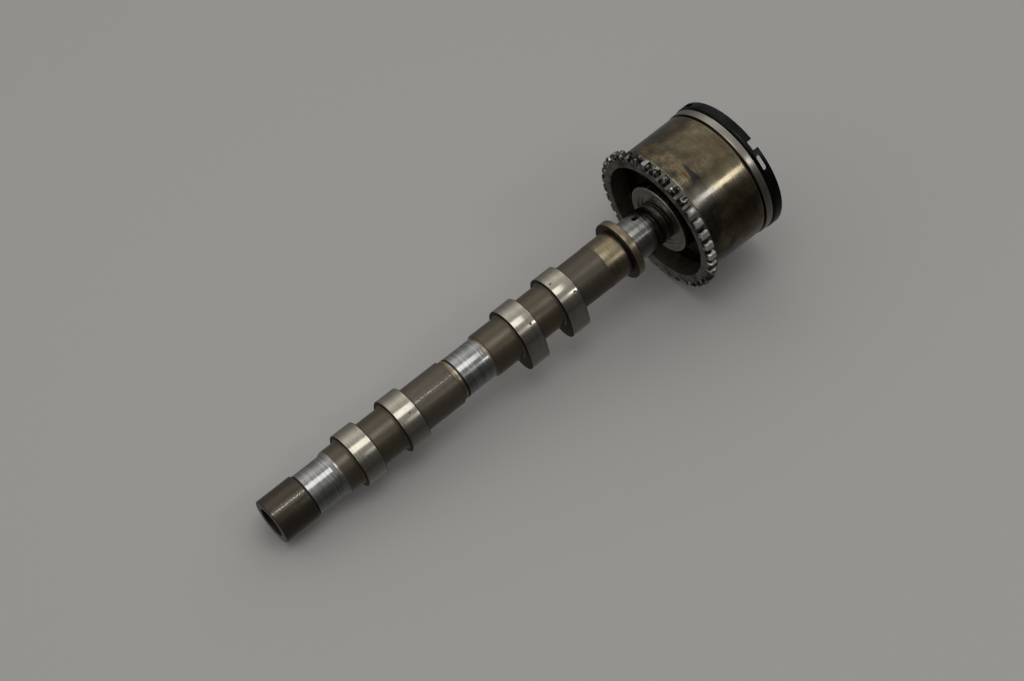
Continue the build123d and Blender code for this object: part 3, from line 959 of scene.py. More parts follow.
@dataclass(frozen=True)
class Finish:
    """A named finish that paints itself on a canvas.

    Attributes:
        name: The material's name.
    """

    name: str

    def material(self, line: ShaftLine) -> bpy.types.Material:
        """Makes the material."""
        canvas = Canvas(self.name, line)
        self.paint(canvas)
        return canvas.material

    def paint(self, canvas: Canvas) -> None:
        """Fills the canvas."""
        raise NotImplementedError


BROWN: Colour = (0.150, 0.124, 0.086)
PINKISH: Colour = (0.165, 0.141, 0.110)
DARK: Colour = (0.060, 0.046, 0.034)
GREY: Colour = (0.480, 0.480, 0.475)
GOLD: Colour = (0.400, 0.330, 0.190)


@dataclass(frozen=True)
class CastingFinish(Finish):
    """Brown oxidised casting with ground journals and a golden thrust land.

    Attributes:
        dullness: Share of baked oil on the cast skin, which isn't metallic.
        parting_sheen: Angles between which specks crowd into a bright line, partly the mould's rubbed
            parting line and partly a painted highlight.
        gilt: Angles between which the thrust land is golden, and not brown.
        stain_and_shade: Colour of the oil stains and of the painted shade on the underside.
        ungilded: Colour of the thrust land outside the gilt angles.
        speck: Colour of the polished specks and of the painted highlight line.
        bore: Colour of the open end's bore.
        bore_edge: Radii between which the outside gives way to the bore.
        zones: The finishes along the shaft.
    """

    dullness: float = 0.45
    parting_sheen: Point2 = (101.2, 104.8)
    gilt: Point2 = (79.0, 132.0)
    stain_and_shade: Colour = (0.085, 0.060, 0.038)
    ungilded: Colour = (0.150, 0.122, 0.084)
    speck: Colour = (0.60, 0.58, 0.54)
    bore: Colour = (0.05, 0.042, 0.035)
    bore_edge: Point2 = (9.4, 8.8)
    zones: tuple[Zone, ...] = (
        Zone(0.0, (0.092, 0.076, 0.055), 0.24, 0.7, 0.2, 1.0),
        Zone(SHAFT.stub_end, DARK, 0.6, 0.4, 0.0),
        Zone(SHAFT.first_journal[0], GREY, 0.17, 0.0, 1.0),
        Zone(SHAFT.first_journal[1], (0.50, 0.49, 0.46), 0.2, 0.1, 0.5),
        Zone(SHAFT.first_web, BROWN, 0.30, 0.8, 0.1, 0.1),
        Zone(SHAFT.second_web, PINKISH, 0.34, 0.9, 0.1, 1.0),
        Zone(SHAFT.second_web_end, GOLD, 0.35, 0.1, 0.6),
        Zone(SHAFT.ring_land[0], (0.50, 0.47, 0.40), 0.28, 0.0, 0.8),
        Zone(SHAFT.ring_land[1], DARK, 0.5, 0.2, 0.2),
        Zone(SHAFT.middle_journal[0], GREY, 0.17, 0.0, 1.0),
        Zone(SHAFT.middle_journal[1], GOLD, 0.35, 0.1, 0.6),
        Zone(SHAFT.third_web, BROWN, 0.32, 0.8, 0.1, 0.1),
        Zone(SHAFT.front_web, (0.134, 0.115, 0.088), 0.40, 0.8, 0.1, 0.1),
        Zone(SHAFT.thrust_land[0], (0.40, 0.335, 0.205), 0.30, 0.2, 0.6),
        Zone(SHAFT.thrust_land[1], DARK, 0.5, 0.2, 0.2),
        Zone(SHAFT.collar[0], (0.30, 0.25, 0.17), 0.28, 0.2, 0.7),
        Zone(SHAFT.collar[1], DARK, 0.5, 0.2, 0.2),
        Zone(SHAFT.nose[0], (0.27, 0.265, 0.25), 0.18, 0.0, 1.0),
        # Inside the hub the nose is painted darker: painted shade.
        Zone(SHAFT.covered_nose, (0.16, 0.14, 0.11), 0.4, 0.3, 0.4),
    )

    def by_zone(self, canvas: Canvas, value: Callable[[Zone], Colour]) -> Signal:
        """Three values of each zone, by station.

        Args:
            canvas: The canvas to read the station from.
            value: Takes the three values from a zone.

        Returns:
            The values at a station, as a colour.
        """
        length = SHAFT.nose[1]
        stops = [(zone.start / length, value(zone)) for zone in self.zones]
        return canvas.ramp(canvas.station / length, stops, "CONSTANT")

    def paint(self, canvas: Canvas) -> None:
        """Fills the canvas."""
        colour = self.by_zone(canvas, lambda zone: zone.colour)
        amounts = self.by_zone(canvas, lambda zone: (zone.roughness, zone.cast, zone.ground))
        share = self.by_zone(canvas, lambda zone: (zone.glint, zone.glint, zone.glint))
        split = canvas.place("ShaderNodeSeparateColor", sockets={0: amounts})
        roughness, cast, ground = (canvas.out(split, channel) for channel in range(3))
        clouds = canvas.noise(0.16, 4.0, 0.6)
        grain = canvas.noise(1.1, 4.0, 0.65)
        lines = canvas.tool_lines(0.35)
        streaks = canvas.tool_lines(1.1, 0.05)
        # The lower half is darkened towards the stain colour: partly oil, partly painted shade.
        under = 1.0 - canvas.step(canvas.up, -12.0, 4.0)
        stain_and_shade = canvas.step(clouds, 0.45, 0.75) * 0.45 * cast + under * 0.35
        colour = canvas.mix(stain_and_shade, colour, self.stain_and_shade)
        # The thrust land is golden between the gilt angles and brown elsewhere.
        golden = canvas.band(canvas.angle + (clouds - 0.5) * 20.0, *self.gilt, 6.0)
        ungilded = canvas.band(canvas.station, *SHAFT.thrust_land, 0.1) * (1.0 - golden)
        colour = canvas.mix(ungilded * 0.7, colour, self.ungilded)
        # Between these angles the specks crowd into a bright broken line: partly a rubbed parting line,
        # partly a painted highlight.
        sheen_ridge = canvas.band(canvas.angle, *self.parting_sheen, 0.8) * 0.22
        specks = canvas.noise(1.3, 2.0, 0.7)
        glint = canvas.step(specks, 0.69 - sheen_ridge, 0.74 - sheen_ridge) * share
        colour = canvas.mix(glint * 0.6, colour, self.speck)
        scratch = canvas.step(streaks, 0.40, 0.60)
        wear = lines * 0.2 + scratch * 0.3
        colour = canvas.shade(colour, 0.72 + clouds * 0.4 * (1.0 - ground) + wear * ground)
        bore = canvas.step(canvas.radius, *self.bore_edge)
        colour = canvas.mix(bore, colour, self.bore)
        rough = roughness + (clouds - 0.5) * 0.25 * cast + (scratch - 0.5) * 0.12 * ground
        rough = rough + bore * 0.3 - glint * 0.1
        relief = canvas.bump(grain * cast, 0.08)
        relief = canvas.bump(scratch * ground, 0.010, relief)
        dull = 1.0 - cast * self.dullness
        canvas.finish(colour, rough.clamped(), relief, dull, coat_weight=0.15, coat_roughness=0.18)


@dataclass(frozen=True)
class Pit:
    """A pit in a lobe's running surface.

    Attributes:
        station: Station of its middle.
        angle: Angle of its middle.
        size: Half its length along the axis and half its width round it.
    """

    station: float
    angle: float
    size: Point2


@dataclass(frozen=True)
class LobeFinish(Finish):
    """Worn bright lobes with dark cast sides and a few pits.

    Attributes:
        bright: Colour of the worn running surface.
        side: Colour of the cast sides.
        dull: Colour of its dull patches.
        pitted: Colour inside the pits.
        margin: Width of the dark edge at each side of the running surface.
        pits: The pits.
    """

    bright: Colour = (0.56, 0.525, 0.44)
    side: Colour = (0.10, 0.082, 0.062)
    dull: Colour = (0.30, 0.26, 0.19)
    pitted: Colour = (0.12, 0.09, 0.06)
    margin: float = 0.45
    pits: tuple[Pit, ...] = (
        Pit(91.1, 114.0, (1.0, 0.7)),
        Pit(175.0, 121.0, (0.8, 1.1)),
        Pit(198.9, 83.0, (0.9, 0.8)),
        Pit(206.6, 125.0, (0.8, 0.7)),
    )

    def paint(self, canvas: Canvas) -> None:
        """Fills the canvas."""
        reach = SHAFT.lobe_width / 2 - self.margin
        bands = [canvas.band(canvas.station, x - reach, x + reach, 0.15) for x in SHAFT.lobes]
        base = canvas.step(canvas.radius, SHAFT.base_radius - 1.0, SHAFT.base_radius - 0.4)
        running = canvas.total(bands) * base
        lines = canvas.tool_lines(0.9, 0.03)
        clouds = canvas.noise(0.22, 3.0, 0.6)
        grain = canvas.noise(1.0, 4.0, 0.65)
        colour = canvas.mix(running, self.side, self.bright)
        colour = canvas.shade(colour, 0.66 + lines * 0.5 * running + clouds * 0.2)
        dull = canvas.step(clouds, 0.52, 0.72) * 0.35 * running
        colour = canvas.mix(dull, colour, self.dull)
        spots = [canvas.spot(p.station, p.angle, SHAFT.base_radius, p.size) for p in self.pits]
        pits = canvas.total(spots).clamped()
        colour = canvas.mix(pits * 0.8, colour, self.pitted)
        rough = 0.50 - running * 0.34 + (lines - 0.5) * 0.2 + pits * 0.3
        relief = canvas.bump(grain * (1.0 - running), 0.12)
        relief = canvas.bump(lines * running, 0.006, relief)
        relief = canvas.bump(1.0 - pits, 0.15, relief)
        canvas.finish(colour, rough.clamped(), relief)


@dataclass(frozen=True)
class DrumFinish(Finish):
    """Bronze brown oxide with turned lines, worn bright along its edges.

    Attributes:
        oxide: Colours of the oxide's clouds.
        copper: Colour of its copper patches.
        outer: Colour that it tends to, away from the seam.
        rubbed_sheen: Angles between which the oxide is rubbed thin and painted bright as a highlight.
        bare_and_sheen: Colours of that band, part rubbed metal and part painted highlight, at the seam
            and away from it.
        edge: Colour of the worn edges.
        inside: Colour of the drum's inside, darkened as painted shade.
        knock: Station and angle of the dark knock.
        knock_colour: Its colour.
        knock_reach: Half its length round the drum.
        knock_taper: Growth of its half width along its length.
    """

    oxide: tuple[Stop, ...] = (
        (0.36, (0.048, 0.045, 0.038)),
        (0.5, (0.125, 0.107, 0.076)),
        (0.64, (0.30, 0.24, 0.145)),
    )
    copper: Colour = (0.185, 0.108, 0.066)
    outer: Colour = (0.27, 0.215, 0.13)
    rubbed_sheen: Point2 = (115.0, 131.0)
    bare_and_sheen: tuple[Colour, Colour] = ((0.42, 0.40, 0.36), (0.50, 0.43, 0.28))
    edge: Colour = (0.55, 0.50, 0.40)
    inside: Colour = (0.05, 0.043, 0.03)
    knock: Point2 = (294.9, 100.5)
    knock_colour: Colour = (0.030, 0.034, 0.042)
    knock_reach: float = 6.2
    knock_taper: float = 0.17

    def paint(self, canvas: Canvas) -> None:
        """Fills the canvas."""
        clouds = canvas.noise(0.07, 5.0, 0.62)
        fine = canvas.noise(0.5, 4.0, 0.6)
        lines = canvas.tool_lines(0.9, 0.03)
        apart = canvas.vector(canvas.station + 90.0, canvas.across, canvas.up)
        copper = canvas.step(canvas.noise(0.11, 3.0, 0.6, apart), 0.50, 0.66)
        colour = canvas.mix(copper * 0.55, canvas.ramp(clouds, self.oxide), self.copper)
        # A band of angles painted bright: partly oxide rubbed thin, partly a painted highlight.
        rubbed_sheen = canvas.band(canvas.angle, *self.rubbed_sheen, 6.0)
        start, end, radius = PHASER.seam, PHASER.drum_end, PHASER.drum_radius
        outwards = canvas.step(canvas.station, start + 8.0, start + 22.0)
        colour = canvas.mix(outwards * 0.35, colour, self.outer)
        bare_and_sheen = canvas.mix(outwards, *self.bare_and_sheen)
        colour = canvas.mix(rubbed_sheen * (0.50 + clouds * 0.5), colour, bare_and_sheen)
        colour = canvas.shade(colour, 0.60 + lines * 0.75)
        near = canvas.band(canvas.station, start - 0.1, start + 0.5, 0.15)
        far = canvas.band(canvas.station, end - 0.5, end + 0.1, 0.15)
        colour = canvas.mix((near + far) * 0.6, colour, self.edge)
        dent = self.dent(canvas)
        colour = canvas.mix(dent * 0.9, colour, self.knock_colour)
        # The drum's inside is darkened: painted shade.
        inside = canvas.step(canvas.radius, radius - 0.6, radius - 1.2)
        colour = canvas.mix(inside * 0.8, colour, self.inside)
        scratch = canvas.step(lines, 0.42, 0.60)
        rough = 0.16 + (clouds - 0.5) * 0.2 + (fine - 0.5) * 0.12 + dent * 0.12 + inside * 0.22
        rough = rough + (scratch - 0.5) * 0.08
        relief = canvas.bump(scratch, 0.009)
        relief = canvas.bump(fine, 0.012, relief)
        relief = canvas.bump(1.0 - dent, 0.03, relief)
        canvas.finish(colour, rough.clamped(), relief)

    def dent(self, canvas: Canvas) -> Signal:
        """Dark knock on the drum, pointed at one end, that runs round it.

        Args:
            canvas: The canvas to read places from.

        Returns:
            1 in the knock and 0 outside it.
        """
        station, angle = self.knock
        radius = PHASER.drum_radius
        round_way = canvas.round_way(radius, angle)
        ragged = (canvas.noise(0.5, 3.0) - 0.5) * 1.6
        half_width = (round_way + self.knock_reach) * self.knock_taper + 0.5
        off_middle = canvas.station - station + ragged * 0.6
        aside = canvas.math("ABSOLUTE", off_middle) - half_width
        along = canvas.band(round_way + ragged, -self.knock_reach, self.knock_reach, 0.7)
        outer = canvas.step(canvas.radius, radius - 0.6, radius - 0.2)
        facing = canvas.step(canvas.up, 0.0, 1.0)
        return (1.0 - canvas.step(aside, -0.7, 0.3)) * along * outer * facing


@dataclass(frozen=True)
class MetalFinish(Finish):
    """Plain metal with grime in its clouds.

    Attributes:
        bright: Colour of the clean metal.
        grime: Colour of the grime.
        share: Share of grime.
        roughness: Roughness of the clean metal.
        metallic: How metallic it is, less under baked oil.
        relief: Depth of the tool lines or of the grain.
    """

    bright: Colour = (0.5, 0.5, 0.5)
    grime: Colour = (0.1, 0.08, 0.06)
    share: float = 0.3
    roughness: float = 0.32
    metallic: float = 1.0
    relief: float = 0.01


@dataclass(frozen=True)
class TurnedFinish(MetalFinish):
    """Turned steel with tool lines.

    Attributes:
        pitch: Distance between tool lines.
        coat: Weight of an oily coat.
    """

    pitch: float = 0.4
    coat: float = 0.0

    def paint(self, canvas: Canvas) -> None:
        """Fills the canvas."""
        clouds = canvas.noise(0.13, 4.0, 0.62)
        lines = canvas.tool_lines(self.pitch)
        dirty = canvas.grime(clouds, self.share)
        colour = canvas.mix(dirty, self.bright, self.grime)
        colour = canvas.shade(colour, 0.75 + lines * 0.45)
        rough = self.roughness + dirty * 0.22 + (lines - 0.5) * 0.18
        relief = canvas.bump(lines, self.relief)
        oil = {"coat_weight": self.coat, "coat_roughness": 0.12}
        canvas.finish(colour, rough.clamped(), relief, self.metallic, **oil)


@dataclass(frozen=True)
class RubbedFinish(MetalFinish):
    """Metal of a small piece, with a fine grain and no tool lines.

    Attributes:
        grain: Grains in each millimetre.
        relief: Depth of the grain.
    """

    grain: float = 1.2
    relief: float = 0.02

    def paint(self, canvas: Canvas) -> None:
        """Fills the canvas."""
        clouds = canvas.noise(0.35, 4.0, 0.6)
        grain = canvas.noise(self.grain, 4.0, 0.6)
        dirty = canvas.grime(clouds, self.share)
        colour = canvas.mix(dirty, self.bright, self.grime)
        colour = canvas.shade(colour, 0.8 + grain * 0.4)
        rough = self.roughness + dirty * 0.2 + (grain - 0.5) * 0.2
        canvas.finish(colour, rough.clamped(), canvas.bump(grain, self.relief), self.metallic)


@dataclass(frozen=True)
class ToothFinish(Finish):
    """Grimy chain teeth, whose tips in one band of angles are painted bright and free of grime as a
    painted highlight.

    Attributes:
        tip_highlight: Angles between which the tips carry the painted highlight.
        tip: Radii between which the grime gives way to the painted highlight of a tip.
        bright: Colour of the metal without grime, which is also the colour of the painted highlight.
        grime: Colour of the grime.
    """

    tip_highlight: Point2 = (122.0, 172.0)
    tip: Point2 = (43.6, 44.8)
    bright: Colour = (0.74, 0.72, 0.68)
    grime: Colour = (0.028, 0.024, 0.018)

    def paint(self, canvas: Canvas) -> None:
        """Fills the canvas."""
        clouds = canvas.noise(0.35, 4.0, 0.6)
        grain = canvas.noise(1.2, 4.0, 0.6)
        # Tips between these angles are painted bright and grime-free: a painted highlight.
        tip_highlight = canvas.band(canvas.angle, *self.tip_highlight, 3.0) * canvas.step(canvas.radius, *self.tip)
        dirty = canvas.step(clouds, 0.30, 0.56) * (1.0 - tip_highlight * 0.95)
        colour = canvas.shade(canvas.mix(dirty, self.bright, self.grime), 0.66 + grain * 0.5)
        rough = 0.16 + dirty * 0.18 + tip_highlight * 0.12 + (grain - 0.5) * 0.2
        canvas.finish(colour, rough.clamped(), canvas.bump(grain, 0.03), 1.0 - tip_highlight * 0.35)


@dataclass(frozen=True)
class CoverFinish(Finish):
    """Cover with a dark foot groove, a bright turned rim and a dull face.

    Attributes:
        rim_radius: Radius past which the rim is bright.
        dark: Colour of the groove and the face.
        rim: Colour of the rim.
    """

    rim_radius: float = 40.6
    dark: Colour = (0.085, 0.072, 0.052)
    rim: Colour = (0.44, 0.415, 0.355)

    def paint(self, canvas: Canvas) -> None:
        """Fills the canvas."""
        lines = canvas.tool_lines(0.4)
        clouds = canvas.noise(0.12, 4.0, 0.6)
        rim = canvas.step(canvas.radius, self.rim_radius, self.rim_radius + 0.4)
        rim = rim * canvas.step(canvas.station, PHASER.groove_end - 0.05, PHASER.groove_end + 0.1)
        colour = canvas.mix(rim, self.dark, self.rim)
        colour = canvas.shade(colour, 0.7 + lines * 0.35 + clouds * 0.2)
        rough = 0.46 - rim * 0.22 + (lines - 0.5) * 0.15
        canvas.finish(colour, rough.clamped(), canvas.bump(lines, 0.01))


@dataclass(frozen=True)
class HubFinish(Finish):
    """Turned grey hub with golden ridges at its steps.

    Attributes:
        ridges: Radii of the ridges.
        steel: Colour of the face.
        gold: Colour of the ridges.
        hidden_shade: Colour of the sides and of what lies inside the drum, darkened as painted shade.
    """

    ridges: tuple[float, ...] = (13.1, 15.0, 17.0, 21.6)
    steel: Colour = (0.27, 0.26, 0.235)
    gold: Colour = (0.50, 0.42, 0.25)
    hidden_shade: Colour = (0.15, 0.13, 0.10)

    def paint(self, canvas: Canvas) -> None:
        """Fills the canvas."""
        lines = canvas.tool_lines(0.5)
        clouds = canvas.noise(0.15, 4.0, 0.6)
        front = 1.0 - canvas.step(canvas.station, PHASER.hub_face + 2.2, PHASER.hub_face + 3.2)
        gold = canvas.total([canvas.band(canvas.radius, r - 0.5, r + 0.5, 0.45) for r in self.ridges])
        colour = canvas.mix(gold * front * 0.5, self.steel, self.gold)
        # Behind its face the hub is darkened: painted shade inside the drum.
        colour = canvas.mix(1.0 - front, colour, self.hidden_shade)
        oil = canvas.step(clouds, 0.46, 0.62)
        colour = canvas.shade(colour, 0.55 + lines * 0.6 + oil * 0.3)
        rough = 0.26 + (lines - 0.5) * 0.2 + oil * 0.12
        canvas.finish(colour, rough.clamped(), canvas.bump(lines, 0.012))


@dataclass(frozen=True)
class WheelFinish(Finish):
    """Black oxide with a blue glint and rubbed edges.

    Attributes:
        oxide: Colours of the oxide's clouds.
        edge: Colour of the rubbed edges.
    """

    oxide: tuple[Stop, ...] = ((0.35, (0.010, 0.0095, 0.009)), (0.7, (0.022, 0.021, 0.023)))
    edge: Colour = (0.20, 0.20, 0.22)

    def paint(self, canvas: Canvas) -> None:
        """Fills the canvas."""
        clouds = canvas.noise(0.1, 4.0, 0.6)
        grain = canvas.noise(1.5, 3.0, 0.6)
        lines = canvas.tool_lines(0.8)
        rim = canvas.step(canvas.radius, PHASER.wheel_radius - 0.25, PHASER.wheel_radius + 0.05)
        edge = rim * canvas.step(grain, 0.45, 0.7)
        colour = canvas.mix(edge * 0.08, canvas.ramp(clouds, self.oxide), self.edge)
        rough = 0.27 + (clouds - 0.5) * 0.25 + (lines - 0.5) * 0.1
        canvas.finish(colour, rough.clamped(), canvas.bump(grain, 0.012), metallic=0.85)


@dataclass(frozen=True)
class FloorFinish(Finish):
    """Plain pale floor.

    Attributes:
        colour: Its colour.
    """

    colour: Colour = (0.60, 0.595, 0.58)

    def paint(self, canvas: Canvas) -> None:
        """Fills the canvas."""
        canvas.finish(self.colour, 0.75, metallic=0.0, specular_ior_level=0.25)


LOBE_FINISH = LobeFinish("worn_lobes")
COVER_FINISH = CoverFinish("turned_cover")
WHEEL_FINISH = WheelFinish("black_oxide")
RING_FINISH = TurnedFinish(
    "dark_ring",
    bright=(0.22, 0.20, 0.165),
    grime=(0.055, 0.047, 0.035),
    share=0.35,
    roughness=0.36,
    metallic=0.8,
)
TOOTH_FINISH = ToothFinish("worn_teeth")
CHAMBER_FINISH = TurnedFinish(
    "oiled_chamber", bright=(0.30, 0.28, 0.24), grime=(0.06, 0.05, 0.035), share=0.4, coat=0.3
)
PLATE_FINISH = TurnedFinish(
    "oiled_plate",
    bright=(0.16, 0.145, 0.11),
    grime=(0.05, 0.043, 0.032),
    share=0.4,
    coat=0.2,
    metallic=0.7,
)
FASTENER_FINISH = RubbedFinish(
    "dark_fasteners", bright=(0.16, 0.16, 0.165), grime=(0.05, 0.045, 0.04), share=0.3, roughness=0.38
)
HARDENED_FINISH = RubbedFinish(
    "ground_pins", bright=(0.55, 0.55, 0.56), grime=(0.2, 0.18, 0.14), share=0.2, roughness=0.22
)
SPRING_FINISH = RubbedFinish(
    "spring_wire", bright=(0.50, 0.51, 0.54), grime=(0.2, 0.18, 0.15), share=0.2, roughness=0.28
)
SEAL_FINISH = RubbedFinish(
    "seal_bars",
    bright=(0.06, 0.05, 0.045),
    grime=(0.03, 0.025, 0.02),
    share=0.3,
    roughness=0.5,
    metallic=0.0,
)


class Workshop:
    """Hands finished pieces over to the frame."""

    def __init__(self, line: ShaftLine) -> None:
        """Opens the workshop.

        Args:
            line: The shaft's line.
        """
        self.line = line
        self.row = PolarRow()
        self.made: dict[str, bpy.types.Material] = {}

    def finish(self, finish: Finish) -> bpy.types.Material:
        """The material of a finish, made once."""
        if finish.name not in self.made:
            self.made[finish.name] = finish.material(self.line)
        return self.made[finish.name]

    def repeat(
        self,
        name: str,
        item: bpy.types.Object,
        count: int,
        first: float,
        finish: Finish,
        wear: float = 0.0,
        seed: int = 0,
    ) -> bpy.types.Object:
        """Makes one piece of copies that stand evenly round the axis.

        Args:
            name: Name of the piece.
            item: What is copied, standing at angle 0. It is used up.
            count: How many copies.
            first: Angle of the first copy.
            finish: Finish of the copies.
            wear: Most that a copy sinks towards the axis.
            seed: Seed of the wear.

        Returns:
            The piece.
        """
        values = {
            "Item": item,
            "Count": count,
            "First angle": float(first),
            "Step angle": 360 / count,
            "Wear": float(wear),
            "Seed": seed,
            "Finish": self.finish(finish),
        }
        piece = self.row.run(name, values)
        bpy.data.objects.remove(item)
        return piece

    def deliver(
        self, piece: bpy.types.Object, finish: Finish, body: Body, slot: Slot, nodes: Sequence[str] = ()
    ) -> bpy.types.Object:
        """Puts a piece in the frame with its finish.

        Args:
            piece: The piece, in shaft coordinates.
            finish: Its finish.
            body: The body that it moves with.
            slot: The record's material slot, not used.
            nodes: The CAD nodes that it stands for.

        Returns:
            The piece.
        """
        piece.data.transform(self.line.to_frame())
        piece.data.materials.clear()
        piece.data.materials.append(self.finish(finish))
        piece.data.polygons.foreach_set("material_index", [0] * len(piece.data.polygons))
        piece.data.shade_smooth()
        piece.data.set_sharp_from_angle(angle=math.radians(SMOOTH_ANGLE))
        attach(piece, body.value)
        if nodes:
            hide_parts(*nodes)
        log.info("%s: %d faces on %s", piece.name, len(piece.data.polygons), body.value)
        return piece

    def dress(self, node: str, finish: Finish, slot: Slot) -> None:
        """Gives a CAD node its finish.

        Args:
            node: The node's name.
            finish: Its finish.
            slot: The record's material slot, not used.
        """
        piece = frame["nodes"][node]
        material = self.finish(finish)
        if not piece.material_slots:
            piece.data.materials.append(material)
        for holder in piece.material_slots:
            holder.material = material


@dataclass
class Camshaft:
    """The casting with its journals, collar, nose and bore, and the four cam lobes.

    Attributes:
        oil_hole: Station and angle of the oil feed hole.
        oil_rings: Distance from the axis, and width against the hole's, along the hole's cutter.
        open_end_lead: Angle by which the open end's lobes lead.
        edge: Rounding of a lobe's edges.
        fillet: Size of the cast fillet at a lobe's foot.
    """

    shop: Workshop
    stub_radius: float = 13.5
    journal_radius: float = 12.5
    relief_radius: float = 12.0
    web_radius: float = 13.6
    front_web_radius: float = 13.9
    land_radius: float = 14.1
    collar_radius: float = 18.4
    nose_radius: float = 12.6
    bore_radius: float = 8.5
    thread_radius: float = 6.03
    lift: float = 5.9
    nose_arc: float = 9.0
    flank_radius: float = 70.0
    nose_angle: float = 220.0
    open_end_lead: float = 90.0
    edge: float = 0.45
    fillet: float = 1.0
    oil_hole: Point2 = (263.8, 71.0)
    oil_hole_radius: float = 1.5
    oil_rings: tuple[Point2, ...] = ((4.0, 1.0), (12.1, 1.0), (13.6, 1.6))

    def build(self) -> None:
        """Makes and delivers the casting and the lobes."""
        casting = turned("camshaft_casting", self.profile())
        carve(casting, [self.oil_drill()])
        finish = CastingFinish("oxidised_casting")
        self.shop.deliver(casting, finish, Body.SHAFT, Slot.CAST_SHAFT, ["camshaft"])
        blank = self.lobe_blank()
        values = {
            "Lobe": blank,
            "Count": len(SHAFT.lobes),
            "First station": SHAFT.first_lobe,
            "Pair spacing": SHAFT.pair_spacing,
            "Cylinder pitch": SHAFT.cylinder_pitch,
            "Nose angle": self.nose_angle,
            "Open end lead": self.open_end_lead,
            "Finish": self.shop.finish(LOBE_FINISH),
        }
        row = LobeRow().run("cam_lobes", values)
        bpy.data.objects.remove(blank)
        self.shop.deliver(row, LOBE_FINISH, Body.SHAFT, Slot.CAST_SHAFT, ["camshaft"])

    def profile(self) -> list[Corner]:
        """Outline of the casting, from the bottom of its bore round to the nose's thread."""
        plan = SHAFT
        web, relief, journal = self.web_radius, self.relief_radius, self.journal_radius
        land, nose, passage = self.land_radius, self.nose_radius, PHASER.passage_radius
        lobes = [self.lobe_root(station) for station in plan.lobes[:-1]]
        return [
            Corner(plan.bore_end[1], 0.0),
            Corner(plan.bore_end[0], self.bore_radius),
            Corner(0.4, self.bore_radius, 0.1),
            Corner(0.0, self.bore_radius + 0.5, 0.2),
            Corner(0.0, self.stub_radius, 0.8),
            Corner(plan.stub_end, self.stub_radius, 0.4),
            Corner(plan.stub_end, relief, 0.2),
            Corner(plan.first_journal[0], relief, 0.2),
            Corner(plan.first_journal[0], journal, 0.15),
            Corner(plan.first_journal[1], journal, 0.3),
            Corner(plan.first_web, web, 0.5),
            *lobes[0],
            *lobes[1],
            Corner(plan.second_web_end, web, 0.4),
            Corner(plan.second_web_end, relief, 0.2),
            Corner(plan.ring_land[0], relief, 0.1),
            Corner(plan.ring_land[0], journal, 0.1),
            Corner(plan.ring_land[1], journal, 0.1),
            Corner(plan.ring_land[1], relief, 0.1),
            Corner(plan.middle_journal[0], relief, 0.1),
            Corner(plan.middle_journal[0], journal, 0.15),
            Corner(plan.middle_journal[1], journal, 0.15),
            Corner(plan.middle_journal[1], relief, 0.2),
            Corner(plan.third_web, relief, 0.2),
            Corner(plan.third_web, web, 0.4),
            *lobes[2],
            *self.lobe_root(plan.lobes[-1], end=False),
            Corner(plan.front_web, self.front_web_radius, 0.15),
            Corner(plan.thrust_land[0], self.front_web_radius, 0.05),
            Corner(plan.thrust_land[0], land, 0.1),
            Corner(plan.thrust_land[1], land, 0.2),
            Corner(plan.thrust_land[1], land - 1.0, 0.3),
            Corner(plan.collar[0], land - 1.0, 0.3),
            Corner(plan.collar[0], self.collar_radius, 0.7),
            Corner(plan.collar[1], self.collar_radius, 0.4),
            Corner(plan.collar[1], nose - 0.5, 0.2),
            Corner(plan.nose[0], nose - 0.5, 0.2),
            Corner(plan.nose[0], nose, 0.2),
            Corner(plan.nose[1], nose, 0.8),
            Corner(plan.nose[1], passage, 0.3),
            Corner(plan.thread[1], passage, 0.1),
            Corner(plan.thread[1], self.thread_radius, 0.1),
            Corner(plan.thread[0], self.thread_radius, 0.1),
            Corner(plan.thread[0], 0.0),
        ]

    def lobe_root(self, station: float, end: bool = True) -> list[Corner]:
        """Cast fillets at both sides of a lobe.

        Args:
            station: The lobe's middle station.
            end: Whether the outline falls back to the web after the lobe.

        Returns:
            The corners of the raised band under the lobe.
        """
        near = station - SHAFT.lobe_width / 2
        far = station + SHAFT.lobe_width / 2
        raised = self.web_radius + self.fillet
        corners = [
            Corner(near - self.fillet, self.web_radius, 0.6 * self.fillet),
            Corner(near + 0.3, raised, 0.2),
        ]
        if end:
            corners += [
                Corner(far - 0.3, raised, 0.2),
                Corner(far + self.fillet, self.web_radius, 0.6 * self.fillet),
            ]
        return corners

    def oil_drill(self) -> bpy.types.Object:
        """Cutter of the oil feed hole, with a small countersink."""
        station, angle = self.oil_hole
        outwards = Vector((0.0, *polar(1.0, angle)))
        round_way = Vector((0.0, *polar(1.0, angle + 90)))
        rings: list[list[Point3]] = []
        for depth, spread in self.oil_rings:
            ring: list[Point3] = []
            for step in range(HOLE_SIDES):
                along, aside = polar(self.oil_hole_radius * spread, 360 * step / HOLE_SIDES)
                place = outwards * depth + round_way * aside
                ring.append((station + along, place.y, place.z))
            rings.append(ring)
        return lofted("oil_drill", rings)

